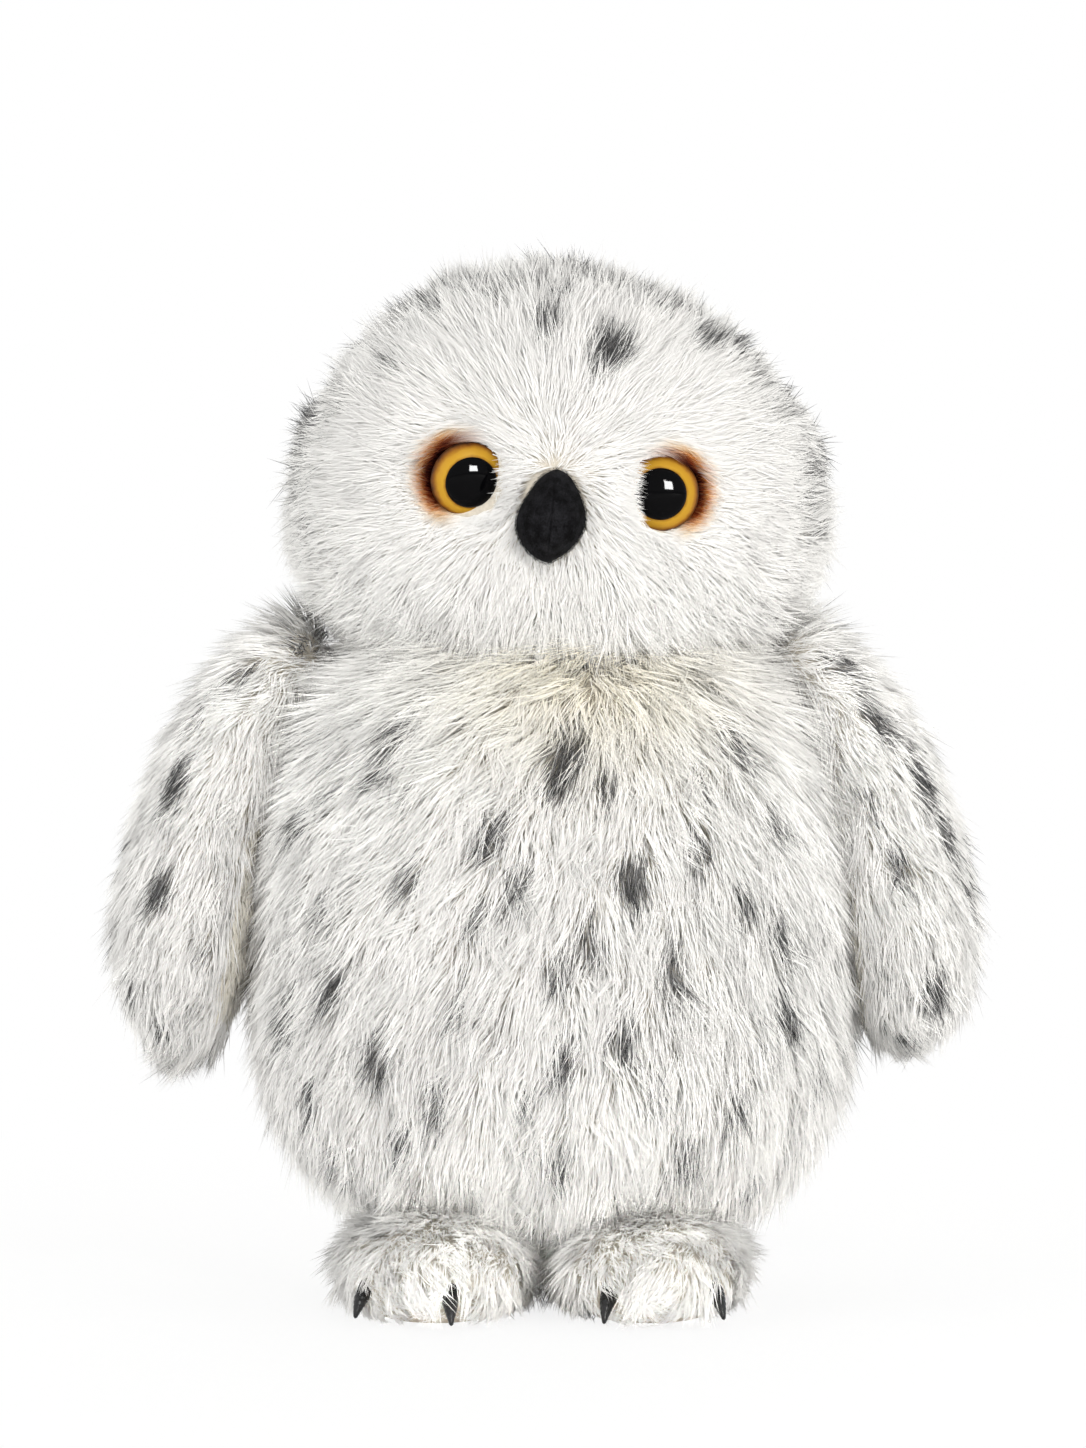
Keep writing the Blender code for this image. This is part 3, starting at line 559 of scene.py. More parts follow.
def front_spots(surface, table):
    """Centres and sizes of spots that a table places as seen from the front: each lies over the
    point of the surface's front that comes nearest to its place. They are printed a little larger
    and darker than they are seen, because the white pile above lies over their edges."""
    points, normals, _ = facing(surface, *spread(surface, 16000))
    front = normals[:, 1] < 0.05
    lifted = points[front] + SPOT_LIFT * normals[front]
    apart = lifted[:, None, [0, 2]] - table[None, :, :2] * MM
    centres = lifted[(apart ** 2).sum(-1).argmin(0)]
    return centres, table[:, 2:] * (1.1 * MM, 1.02 * MM, 1.05)


def scattered_spots(surface, count, seed, keep):
    """Centres and sizes of spots spread evenly over a surface, each moved a little at random."""
    rng = np.random.default_rng(seed)
    around, along = spread(surface, count)
    around = around + rng.uniform(-0.012, 0.012, count)
    along = np.clip(along + rng.uniform(-0.012, 0.012, count), 0.01, 0.99)
    centres, normals, _ = facing(surface, around, along)
    centres = (centres + normals * SPOT_LIFT)[keep(centres, normals)]
    sizes = rng.uniform((6.5, 3.0, 0.7), (10.0, 4.2, 1.0), (len(centres), 3))
    return centres, sizes * (MM, MM, 1)


def spot_shade(points, way, spots):
    """How dark the print is at each point: the largest of the spots' bells, each longer along the
    lie of the pile."""
    shade = np.zeros(len(points))
    for centre, (long, wide, dark) in zip(*spots):
        apart = points - centre
        forward = (apart * way).sum(-1)
        sideways = (apart ** 2).sum(-1) - forward ** 2
        bell = dark * np.exp(-(forward / long) ** 2 - sideways / wide ** 2)
        shade = np.maximum(shade, bell)
    return shade


def printed(faint, *sets):
    """A print: at each point the darkest of a faint print all over and of some sets of spots."""
    def shade(points, way):
        return np.maximum.reduce([faint(points)] + [spot_shade(points, way, spots) for spots in sets])
    return shade


def haze(points):
    """Faint print between the spots, on a few strands here and there, and more strands greyed towards
    the bottom, so that the pile is darker low down.
    """
    low = climb(points, 2, 130, 60)
    return 0.09 + 0.05 * low + 0.07 * waves(points, 30 * MM, 8)


def pile_tint(shade, rng, stains):
    """Colour at each level of each strand. A strand takes the print where the shade at its middle
    beats the strand's own threshold. Its root takes little of the print, and is painted a little
    darker and warmer: painted shade for the depth of the pile. A stain is a weight for each level
    and a colour, and works as dye does: the colour to the power of the weight."""
    count = len(shade)
    threshold = rng.uniform(0.10, 0.80, count)
    taken = np.clip((shade - threshold) * 5 + 0.4, 0, 1) * (shade > 0.05)
    dark = np.where(rng.uniform(0, 1, count)[:, None] < DARK_SHARE, DARK_PILE, GREY_PILE)
    base = np.repeat((WHITE_PILE * rng.uniform(0.965, 1.0, (count, 1)))[:, None], 3, 1)
    for weight, colour in stains:
        weight = np.clip(weight * rng.uniform(0.45, 1.25, (count, 1)), 0, 1)[..., None]
        base = base * colour ** weight
    # Painted shade: each strand's root is darkened and warmed, as the depth of the pile would shade it.
    base[:, 0] *= ROOT_PAINTED_SHADE
    amount = taken[:, None, None] * PRINT_BY_LEVEL[None, :, None]
    return base * (1 - amount) + dark[:, None] * amount


def grow(name, body, solid, surface, count, keep, flow, length, seed, shade=printed(even(0.0)),
         stains=(), clear=None, finish=white_pile, width=STRAND_WIDTH, per_lock=12,
         softness=SKIN_SHARE, **more):
    """One piece of pile: its locks, their print, and the body that it rides on. keep picks roots,
    clear picks whole strands, and stains are pairs of a function of the points and a colour."""
    rng = np.random.default_rng(seed)
    strands = brushed_strands(surface, count, keep, flow, length, rng, per_lock, **more)
    if clear:
        fine = clear(strands[0])
        strands = [part[fine] for part in strands]
    points, way, normals, leaning = strands
    shaded = shade(points[:, 1], way)
    dyed = [(np.stack([stain(points[:, k]) for k in range(3)], 1), dye) for stain, dye in stains]
    tints = pile_tint(shaded, rng, dyed)
    thick = width * rng.uniform(0.75, 1.2, len(shaded))
    made = pile_object(name, points, normals, leaning, thick, tints, finish, softness)
    stand_in(made, body, solid)


def grow_strips(strips, body, solid, surface, keep, flow, length, seed, shade, **more):
    """Pile on a surface in strips, each with a name, its reach in depth and in width in
    millimetres, and the number of locks on the whole surface."""
    for order, (name, deep, across, count) in enumerate(strips):
        in_depth, in_width = between(1, *deep), between(0, *across)
        grow(
            name, body, solid, surface, count,
            lambda p, n, a=in_depth, b=in_width: a(p) & b(p) & keep(p),
            flow, length, seed + order, shade, **more)


body_skin = egg((2.6, 0, 105), 81.0, 69.6, 92, 87, 3.1, 3.0)


def body_flow(points, normals):
    """Away from a point in the neck, which lies higher for the upper rows, so that they hang."""
    away = points - metres(22, 0, 198)
    away[:, 2] -= 26 * MM * climb(points, 2, 145, 182)
    away[:, 1] *= 0.45
    return unit(away) + np.array([0, 0, -0.08])


def body_length(points):
    """Pile is longer at the throat and low on the belly."""
    throat = climb(points, 2, 148, 180)
    low = climb(points, 2, 75, 40)
    return (18.0 + 6.5 * throat + 2.0 * low) * MM


def body_puff(points):
    """The pile is pressed flat at the throat, under the chin, and stands up over the shoulders."""
    shoulder = climb(np.abs(points), 0, 38, 55) * climb(points, 2, 155, 172)
    return 12 * shoulder - 4 * bell(points, (10, -52, 176), (42, 30, 15))


def bib_warmth(roots):
    """The pile is cream at the throat, and fades to white below."""
    return 0.8 * bell(roots, (13, -50, 182), (36, 44, 24))


stuffed(
    "body_backing", "torso", ("body_front_panel", "body_back_panel", "body_base_panel"), body_skin,
    long_backing, 0.85)
body_rear_spots = scattered_spots(
    body_skin, 110, 11, lambda p, n: (n[:, 1] > 0.2) & (p[:, 2] > 30 * MM) & (p[:, 2] < 185 * MM))
body_print = printed(
    lambda p: haze(p) * (1 - bib_warmth(p)), front_spots(body_skin, BODY_SPOTS), body_rear_spots)
BODY_STRIPS = {
    "body_front_panel": (100, (
        ("body_front_pile_left", (-200, 2), (-200, -20), 13400),
        ("body_front_pile_middle", (-200, 2), (-20, 26), 13400),
        ("body_front_pile_right", (-200, 2), (26, 200), 13400))),
    "body_back_panel": (103, (
        ("body_back_pile_left", (2, 200), (-200, 2.6), 6400),
        ("body_back_pile_right", (2, 200), (2.6, 200), 6400))),
}
for solid, (seed, strips) in BODY_STRIPS.items():
    grow_strips(
        strips, "torso", solid, body_skin, between(2, 26, 190), body_flow, body_length, seed,
        body_print, stains=((bib_warmth, CREAM_PILE),), puff=body_puff)
grow(
    "body_base_pile", "torso", "body_base_panel", body_skin, 4200, lambda p, n: p[:, 2] <= 26 * MM,
    lying(0, 1.0, 0.2), even(7 * MM), 120, stains=((even(0.5), CREAM_PILE),), per_lock=8)


# Head cover: a plain white face panel, and a spotted panel for crown, sides and back, of the same
# long pile. Face pile is brushed out from the bridge of the beak, and the cover is drawn in round
# the eyes where their stems are pulled back.
LEFT_EYE = metres(-21.6, -51.6, 237.8)
RIGHT_EYE = metres(32.2, -51.6, 233.8)
BRIDGE = metres(2.5, -64, 241)
FACE_SEAM_FOOT = metres(0, -54.2, 190.5)
FACE_SEAM_TOP = metres(0, -21.7, 267.7)


def at_front(points):
    """Whether points lie in the front third of the head."""
    return points[..., 1] < -20 * MM


def round_eye(points, eye):
    """Distance from an eye's axis and angle round it in degrees, as seen from the front."""
    x, z = points[..., 0] - eye[0], points[..., 2] - eye[2]
    return np.hypot(x, z), np.degrees(np.arctan2(z, x))


def drawn_in(points):
    """Two flat-bottomed dimples for the eyes, each deep * exp(-(r/reach)^4)."""
    push = 0
    for eye in (LEFT_EYE, RIGHT_EYE):
        push = push + 5.4 * MM * np.exp(-(round_eye(points, eye)[0] / (14 * MM)) ** 4)
    points[..., 1] += push * climb(points, 1, -10, -30)
    return points


head_skin = egg(
    (4, 0, 230), 71.6, 61.8, 63.5, 44.5, 2.04, 2.9, shape=drawn_in,
    drift=lambda z: (-4.5 * MM * smooth_step(z, 245 * MM, 300 * MM), 0))


def rim_stain(eye, toward, turn, near, far):
    """Airbrushed colour against an eye: full to near millimetres from its axis and none past far,
    times a bell in the angle from toward degrees, with a half width of turn."""
    def weight(points):
        r, angle = round_eye(points, eye)
        apart = (angle - toward + 180) % 360 - 180
        reach = smooth_step(-r, -far * MM, -near * MM)
        return reach * np.exp(-(apart / turn) ** 4) * at_front(points)
    return weight


ORANGE_STAIN = tint_of("#a9541c")
BROWN_STAIN = tint_of("#3a1008")
face_stains = (
    (rim_stain(LEFT_EYE, 170, 60, 12.8, 16.4), ORANGE_STAIN),
    (rim_stain(LEFT_EYE, 160, 58, 11.4, 13.8), BROWN_STAIN),
    (rim_stain(RIGHT_EYE, 10, 58, 12.8, 16.4), ORANGE_STAIN),
    (rim_stain(RIGHT_EYE, 20, 58, 11.4, 13.6), BROWN_STAIN),
)


def on_face(points):
    """Whether points lie in front of the seam of the face panel."""
    along = (points[:, 2] - FACE_SEAM_FOOT[2]) / (FACE_SEAM_TOP[2] - FACE_SEAM_FOOT[2])
    return points[:, 1] < FACE_SEAM_FOOT[1] + along * (FACE_SEAM_TOP[1] - FACE_SEAM_FOOT[1])


def eye_distance(points):
    """Distance in the plane of the face from the nearer eye's axis, for points at the front."""
    nearer = np.minimum(round_eye(points, LEFT_EYE)[0], round_eye(points, RIGHT_EYE)[0])
    return np.where(at_front(points), nearer, 1.0)


def beak_distance(points):
    """1 on the outline of the beak as seen from the front, and more outside."""
    x, z = (points[..., 0] - 2.0 * MM) / (8.5 * MM), (points[..., 2] - 229 * MM) / (11.5 * MM)
    return np.where(at_front(points), np.hypot(x, z), 9.0)


# The open part of each eye: middle, radius, and how far right of it fur from the bridge reaches.
EYE_OPENINGS = (((-21.8, 238.0), 10.6, 1, 8.6), ((32.3, 233.8), 10.6, -1, 4.6))


def face_clear(points):
    """Drops strands that would cross the open part of an eye or the beak."""
    share = np.linspace(0, 1, 7)[None, 1:, None]
    root, middle, tip = points[:, :1], points[:, 1:2], points[:, 2:]
    path = np.concatenate([root + (middle - root) * share, middle + (tip - middle) * share], 1)
    ragged = np.random.default_rng(7).normal(0, 1, (len(points), 1))
    crossing = beak_distance(path) < 0.97
    for centre, radius, side, shown in EYE_OPENINGS:
        x, z = path[..., 0] / MM - centre[0], path[..., 2] / MM - centre[1]
        inside = (np.hypot(x, z + 0.4) < radius + 0.25 * ragged) & (side * x < shown + 1.3 * ragged)
        crossing |= inside & at_front(path)
    return ~crossing.any(1)


def face_length(points):
    """Short round the eyes and the beak, and growing to the full length on brow and cheeks, with an
    uneven fringe under the chin. A tuft by the right eye covers its inner edge."""
    eye = smooth_step(eye_distance(points), 9 * MM, 27 * MM)
    beak = smooth_step(beak_distance(points), 0.9, 2.6)
    chin = climb(points, 2, 212, 192)
    below_beak = bell(points, (6, 0, 0), (34, np.inf, np.inf))
    fringe = chin * (5.0 + 8.0 * below_beak + 4.0 * waves(points, 13 * MM, 6))
    tuft = bell(points, (19, 0, 235), (7, np.inf, 7))
    return (7.0 + 9.0 * np.minimum(eye, beak) + fringe + 5.5 * tuft) * MM


head_backing = stuffed(
    "head_backing", "head", ("face_panel", "head_back_panel"), head_skin,
    knit_backing("stained_knitted_backing", BACKING, "skin_tint"), 0.85, rows=110, columns=160)
places = np.empty(len(head_backing.data.vertices) * 3, np.float32)
head_backing.data.vertices.foreach_get("co", places)
places = places.reshape(-1, 3).astype(float)
sprayed = np.ones((len(places), 3))
for stain, colour in face_stains:
    sprayed = sprayed * colour ** np.clip(stain(places), 0, 1)[:, None]
write_points(head_backing, "skin_tint", "FLOAT_COLOR", "color", opaque(sprayed))

# Spots on the front half of the crown and the sides, as the body's are given.
HEAD_SPOTS = np.array([
    (0, 279, 7, 3, 0.9), (-12, 287, 7, 3, 0.6), (4, 288, 6, 3, 0.6), (17, 270, 9, 4.5, 1.0),
    (43, 276, 9, 4, 0.9), (51, 274, 8, 4, 0.9), (35, 284, 7, 3, 0.6), (-60, 264, 7, 4, 0.8),
    (-64, 253, 8, 4, 0.9), (-50, 275, 7, 3.5, 0.7), (-30, 283, 7, 3, 0.7), (69, 258, 8, 4, 0.8),
    (74, 240, 8, 4, 0.8), (-69, 236, 7, 3.5, 0.6), (62, 268, 7, 3.5, 0.7), (76, 222, 7, 3.5, 0.5),
    (-42, 268, 6, 3, 0.5), (22, 290, 6, 3, 0.5),
])

def crown_haze(points):
    """Print thickens into a band over the crown, which the face panel's edge still catches."""
    x, z = (points[:, 0] - 2 * MM) / (72 * MM), (points[:, 2] - 230 * MM) / (66 * MM)
    band = smooth_step(np.hypot(x, z), 0.84, 0.98) * climb(points, 2, 222, 245)
    return 0.24 * band * (1 + 0.8 * waves(points, 15 * MM, 9)) * (points[:, 1] < 15 * MM)


head_front_spots = front_spots(head_skin, HEAD_SPOTS)
head_rear_spots = scattered_spots(head_skin, 90, 21, lambda p, n: p[:, 1] > 0)
FACE_PILE = {"stains": face_stains, "clear": face_clear}
FACE_STRIPS = (
    ("face_pile_left", (-200, 200), (-200, 4), 18500),
    ("face_pile_right", (-200, 200), (4, 200), 18500),
)
grow_strips(
    FACE_STRIPS, "head", "face_panel", head_skin,
    lambda p: on_face(p) & (eye_distance(p) > 9.6 * MM) & (beak_distance(p) > 0.93),
    brushed(BRIDGE, (0, 0, -0.6), lambda p: climb(p, 2, 225, 195)), face_length, 200,
    printed(crown_haze, head_front_spots), **FACE_PILE, spreading=2.0 * MM, lean=(36, 5),
    turning=0.16, closing=(0.0, 0.55), width=0.30 * MM, softness=0.88)


def eye_ring(eye, radius, half_width, start=0, end=360):
    """Picks roots in a ring round an eye, from one angle in degrees to another."""
    def pick(points, normals):
        r, angle = round_eye(points, eye)
        ring = np.abs(r - radius * MM) < half_width * MM
        return ring & ((angle - start) % 360 < end - start) & at_front(points)
    return pick


# Short fur tight round each eye, which takes most of the airbrushed colour.
for side, eye, seed in (("left", LEFT_EYE, 234), ("right", RIGHT_EYE, 235)):
    grow(
        f"{side}_eye_rim_pile", "head", "face_panel", head_skin, 36000, eye_ring(eye, 12, 2.4),
        lambda p, n, eye=eye: p - eye + (p - BRIDGE) * 0.3, even(5.5 * MM), seed,
        **FACE_PILE, spreading=1.2 * MM, lean=(50, 20), turning=0.2, closing=(0.0, 0.5),
        width=0.28 * MM)

# Fur that leans over the edge of an eye: name, eye, degrees round its axis that it covers, way that
# it lies, length in millimetres, number of locks on the whole head, and seed.
EYE_FRINGES = [
    ("left_brow_pile", LEFT_EYE, (30, 150), (-1, 0, -0.25), 9.5, 30000, 266),
    ("right_brow_pile", RIGHT_EYE, (30, 150), (1, 0, -0.25), 9.5, 30000, 266),
    ("left_eye_inner_tuft", LEFT_EYE, (-50, 30), (-1, 0, -0.5), 6.5, 34000, 186),
    ("right_eye_inner_tuft", RIGHT_EYE, (135, 225), (1, 0, -0.15), 9.5, 52000, 371),
]
for name, eye, (start, end), lie, long, count, seed in EYE_FRINGES:
    grow(
        name, "head", "face_panel", head_skin, count, eye_ring(eye, 13.2, 2.6, start, end),
        lying(*lie), even(long * MM), seed, **FACE_PILE, spreading=1.6 * MM, lean=(72, 22),
        turning=0.2, closing=(0.0, 0.6), width=0.30 * MM, softness=0.88)


def upper_side(points):
    """1 high up on the head, and 0 at its peak and from the middle down."""
    return climb(points, 2, 250, 272) * (1 - bell(points, (4, 0, 0), (12, np.inf, np.inf)))


def head_length(points):
    """Longer at the neck, and shorter high up, most of all on the right."""
    right = climb(points, 0, 25, 50) * climb(points, 2, 220, 250)
    low = climb(points, 2, 212, 194)
    return (16.0 - 7.0 * upper_side(points) - 2.0 * right + 8.5 * low) * MM


HEAD_STRIPS = (
    ("head_crown_pile_left", (-200, 12), (-200, 3), 8400),
    ("head_crown_pile_right", (-200, 12), (3, 200), 8400),
    ("head_back_pile", (12, 200), (-200, 200), 4700),
)
grow_strips(
    HEAD_STRIPS, "head", "head_back_panel", head_skin,
    lambda p: ~on_face(p - metres(0, 0.5, 0)),
    brushed(BRIDGE, (0, 0, -1.1), lambda p: climb(p, 1, -25, 45)), head_length, 210,
    printed(lambda p: haze(p) + crown_haze(p), head_front_spots, head_rear_spots),
    puff=lambda p: -19 * upper_side(p))


# Eyes: domed safety eyes moulded in one with their stems. The iris is satin amber, airbrushed
# darker at its rim, and the pupil is a glossy black dome that stands proud of it.
def turned_object(name, profile, centre, facing_way, finish, columns=64):
    """A profile of radius and height in millimetres turned about an axis: centre + radius * (a cos
    + b sin) + height * axis. The first and the last row are poles. Each point's radius over the
    largest is kept as ring_share."""
    profile = np.array(profile) * MM
    axis = unit(np.array(facing_way, float))
    a = unit(np.cross(axis, (0, 0, 1.0)))
    b = np.cross(axis, a)
    turn = 2 * np.pi * np.arange(columns)[:, None] / columns
    body = profile[1:-1]
    grid = centre + body[:, None, :1] * (a * np.cos(turn) + b * np.sin(turn)) + body[:, None, 1:] * axis
    ends = centre + profile[[0, -1], 1:] * axis
    made = mesh_object(
        name, np.concatenate([grid.reshape(-1, 3), ends]), closed_grid(len(body), columns), finish)
    share = np.concatenate([np.repeat(body[:, 0], columns), profile[[0, -1], 0]]) / profile[:, 0].max()
    write_points(made, "ring_share", "FLOAT", "value", share)
    return made


def amber_finish():
    """Moulded acrylic, back painted and airbrushed: amber, darker at the pupil and orange-brown at
    the rim, with a slight unevenness of the paint, under a satin surface."""
    made, tree, shader = new_finish("painted_amber_acrylic", 0.42, 0.2)
    share = add_node(tree, "ShaderNodeAttribute", {"attribute_name": "ring_share"})
    shift = remap(tree, noise(tree, 420.0, 3.0), -0.05, 0.05)
    place = combine(tree, "ADD", share.outputs["Fac"], shift)
    join(tree, shader, "Base Color", ramp(
        tree, place, (0.66, linear("#84540e")), (0.74, linear("#b18720")),
        (0.86, linear("#aa7d1e")), (0.94, linear("#7d4c12")), (1.0, linear("#301506"))))
    return made


def pupil_finish():
    """Moulded black acrylic, polished: deep black with sharp reflections and faint moulding marks."""
    made, tree, shader = new_finish("polished_black_acrylic", specular=0.055)
    join(tree, shader, "Roughness", remap(tree, noise(tree, 700.0, 2.0), 0.04, 0.07))
    shader.inputs["Base Color"].default_value = linear("#040405")
    return made


def dome(radius, foot, height, bend):
    """Rows of a dome on a foot, up to its pole: radius * cos and height * sin of angles to bend."""
    angles = np.linspace(0, bend, 14)[1:]
    rows = np.stack([radius * np.cos(angles), foot + height * np.sin(angles)], 1)
    return [*rows, (0, foot + height)]


amber_acrylic = amber_finish()
black_acrylic = pupil_finish()
iris_rows = [(0, 0), (8.0, 0), (10.2, 0.0), (10.7, 0.3), (10.9, 1.0), *dome(10.9, 1.0, 4.9, 1.45)]
pupil_rows = [(0, 3.2), (6.8, 3.2), (7.4, 3.5), (7.4, 4.3), *dome(7.4, 4.3, 3.2, 1.5)]
for side, eye, way in (("left", LEFT_EYE, (0.20, -1, -0.26)), ("right", RIGHT_EYE, (0.03, -1, -0.08))):
    iris = turned_object(f"{side}_eye_iris_dome", iris_rows, eye, way, amber_acrylic)
    stand_in(iris, "head", f"{side}_eye_iris")
    pupil = turned_object(f"{side}_eye_pupil_dome", pupil_rows, eye, way, black_acrylic)
    stand_in(pupil, "head", f"{side}_eye_pupil")
    mirrored_in.objects.link(pupil)


# Beak: two pieces of black craft felt, sewn together along the ridge, stuffed hard and stitched to
# the face. Felt has matted fibres, which blur its surface, and the ridge shows the seam.
def felt_finish():
    """Needled wool-viscose felt: matt black, with a mottle and bumps of matted fibres about half a
    millimetre apart."""
    made, tree, shader = new_finish("needled_black_felt", 0.95, 0.15)
    mat = noise(tree, 1800.0, 6.0, Roughness=0.7)
    both = combine(tree, "MULTIPLY", mat, noise(tree, 350.0, 3.0))
    shade = ramp(tree, both, (0.17, linear("#030304")), (0.37, linear("#202023")))
    join(tree, shader, "Base Color", shade)
    bump(tree, shader, mat, 0.9, 0.5 * MM)
    return made


BEAK_TOP = metres(3.2, -64.0, 240.6)
BEAK_TIP = metres(0.4, -68.0, 214.4)
CHEEK_SHARE = 0.62


def beak_half(side, around, along):
    """Half of the beak, on its side of the ridge. Along runs from the tip, 0, to the top, 1. A
    cross-section goes from the ridge round the cheek to the back and in to the middle. Half width
    and depth follow powers of the sine of the height, so that the tip is a nub and the top is
    round. The ridge lies in a groove of depth * exp(-(x/reach)^2), where the seam draws it in."""
    along, around = np.broadcast_arrays(along, around)
    blunt = 0.70 + 0.08 * smooth_step(along, 0.05, 0.4) - 0.26 * smooth_step(along, 0.6, 0.95)
    full = np.sin(np.pi * np.clip(along, 0, 1) ** 0.86) ** blunt
    wide = 10.9 * MM * full
    deep = 15.5 * MM * full ** 0.8
    inner = around > CHEEK_SHARE
    cheek = np.clip(around / CHEEK_SHARE, 0, 1)
    back = np.clip((around - CHEEK_SHARE) / (1 - CHEEK_SHARE), 0, 1)
    first, last = 0.10, math.pi * 0.78 + 0.10
    swell = np.sin(np.pi * cheek * 0.78 + first) - math.sin(first) * (1 - cheek)
    x = wide * np.where(inner, math.sin(last) * (1 - back), swell)
    groove = 2.0 * MM * np.exp(-(x / (1.0 * MM)) ** 2) * ~inner
    y = deep * np.where(inner, 0.58, -0.74 + 1.32 * cheek ** 1.3)
    middle = BEAK_TIP + (BEAK_TOP - BEAK_TIP) * along[..., None]
    hook = 2.4 * MM * (1 - along) ** 2.5
    return middle + np.stack([side * (x - 0.8 * MM), y + hook + groove, 0 * x], -1)


def half_grid(name, side, finish, rows=44, columns=40):
    """One half of the beak as a closed mesh: rings along the height, between poles."""
    v, u = np.meshgrid(
        np.linspace(0.015, 0.985, rows), (np.arange(columns) + 0.5) / columns, indexing="ij")
    grid = beak_half(side, u, v)
    mean = grid.mean(1)
    lift = (BEAK_TOP - BEAK_TIP) * 0.012
    ends = np.stack([mean[0] - lift, mean[-1] + lift])
    faces = closed_grid(rows, columns)
    if side < 0:
        faces = faces[:, ::-1]
    return mesh_object(name, np.concatenate([grid.reshape(-1, 3), ends]), faces, finish)


black_felt = felt_finish()
for name, side in (("beak_left", -1), ("beak_right", 1)):
    half = half_grid(f"{name}_felt", side, black_felt)
    stand_in(half, "head", f"{name}_panel")
    half_skin = lambda u, v, side=side: beak_half(side, 0.34 + 0.28 * side * (2 * (u % 1) - 1), v)
    grow(
        f"{name}_fuzz", "head", f"{name}_panel", half_skin, 600, lambda p, n: p[:, 2] > 200 * MM,
        lying(0.25, -0.1, -1.0), even(1.6 * MM), 240 + side, finish=black_felt,
        spreading=0.9 * MM, lean=(32, 8), turning=1.3, closing=(-0.5, 0.3), width=0.09 * MM,
        per_lock=3)


# Wings: long slim pads, hung from the shoulders. The outer side is the spotted long pile of the
# body, and the side towards the body is lined with cream short pile.
def wing_middle(z):
    """How far out the middle of a wing lies: furthest at 85 mm, and less above and below by the
    square of the height."""
    return 103.0 * MM - 2.82 * (z - 85 * MM) ** 2


# Spots on the outer sides of both wings, as the body's are given.
WING_SPOTS = np.array([
    (-104, 151, 10, 4, 0.9), (-108, 123, 6, 4.5, 1.0), (-121, 133, 8, 3, 0.7), (-124, 104, 8, 3, 0.7),
    (-109, 82, 8, 3.5, 0.8), (-94, 75, 7, 3.5, 0.7), (-68, 190, 8, 3.5, 0.8), (-84, 184, 8, 3.5, 0.7),
    (-98, 170, 7, 3, 0.5), (-118, 92, 7, 3, 0.6), (-96, 106, 6, 3, 0.4),
    (83, 183, 8, 4, 0.8), (92, 170, 8, 4, 0.8), (105, 154, 10, 4, 1.0), (113, 137, 9, 4, 0.9),
    (100, 129, 8, 3.5, 0.7), (110, 93, 9, 4, 0.9), (102, 78, 8, 3.5, 0.8), (120, 118, 8, 3.5, 0.8),
    (124, 100, 7, 3, 0.7), (92, 145, 7, 3, 0.5),
])

def wing_length(points):
    """Longer over the shoulder and at the tip of the left wing, and shorter at the right tip."""
    tip = climb(points, 2, 95, 75) * np.where(points[:, 0] < 0, 3.0, -4.0)
    return (14.5 + 1.5 * climb(points, 2, 170, 185) + tip) * MM


for name, side, seed in (("left_wing", -1, 300), ("right_wing", 1, 320)):
    wing_skin = egg(
        (0, 0, 128), 18.6, 32.0, 64.5, 52, 3.4, 2.79,
        drift=lambda z, side=side: (side * wing_middle(z), 3 * MM))
    stuffed(
        f"{name}_backing", name, (f"{name}_outer", f"{name}_lining"), wing_skin, long_backing, 0.8,
        rows=48, columns=56)
    outer_spots = front_spots(wing_skin, WING_SPOTS[WING_SPOTS[:, 0] * side > 0])
    rear_spots = scattered_spots(wing_skin, 34, seed, lambda p, n: p[:, 1] > 6 * MM)

    def wing_flow(points, normals, side=side):
        """Away from the shoulder and down."""
        away = unit(points - metres(side * 58, 3, 192))
        pull = climb(points, 2, 192, 160)[:, None]
        return away * (1 - 0.4 * pull) + np.array([side * 0.15, 0, -0.7]) * pull

    def on_lining(points, normals, side=side):
        """The inner face, towards the body."""
        return side * points[:, 0] - wing_middle(points[:, 2]) < -10.0 * MM

    grow(
        f"{name}_outer_pile", name, f"{name}_outer", wing_skin, 2250,
        lambda p, n, on_lining=on_lining: ~on_lining(p, n), wing_flow, wing_length, seed + 1,
        printed(haze, outer_spots, rear_spots),
        puff=lambda p: 8 * climb(p, 2, 176, 190))
    grow(
        f"{name}_lining_pile", name, f"{name}_lining", wing_skin, 2200, on_lining,
        lying(0, -0.1, -1.0), even(7.5 * MM), seed + 2, stains=((even(0.55), CREAM_PILE),),
        per_lock=9, spreading=1.8 * MM)


# Feet: two stuffed pads, sewn to the base all round. The uppers are plain white pile of medium
# length, and each stands on a flat sole. Each claw has its foot's middle, in millimetres, and its
# turn from straight ahead, in degrees.
CLAW_TURNS = {
    "left_foot_outer_claw": (-30.6, -52), "left_foot_inner_claw": (-30.6, 9),
    "right_foot_inner_claw": (29.4, -27), "right_foot_outer_claw": (29.4, 46),
}


def stand_flat(points):
    """Nothing goes below the floor."""
    points[..., 2] = np.maximum(points[..., 2], 0.3 * MM)
    return points


def claw_line(middle, turn, steps=18):
    """Points along a claw from inside the foot to its tip: level steps out at the root, whose
    pitch grows steadily to the tip."""
    t = math.radians(turn)
    edge = np.array([middle + 26 * math.sin(t), -28 - 48 * math.cos(t), 12.5])
    outward = np.array([math.sin(t / 2), -math.cos(t / 2), 0])
    pitch = np.radians(12 + 50 * (np.arange(steps) + 0.5) / steps)
    ahead = np.concatenate([[0], np.cumsum(np.cos(pitch))]) * 17 / steps
    down = np.concatenate([[0], np.cumsum(np.sin(pitch))]) * 17 / steps
    line = edge + outward * (5 - ahead[-1] + ahead)[:, None] - np.array([0, 0, 1.0]) * down[:, None]
    return line * MM, outward


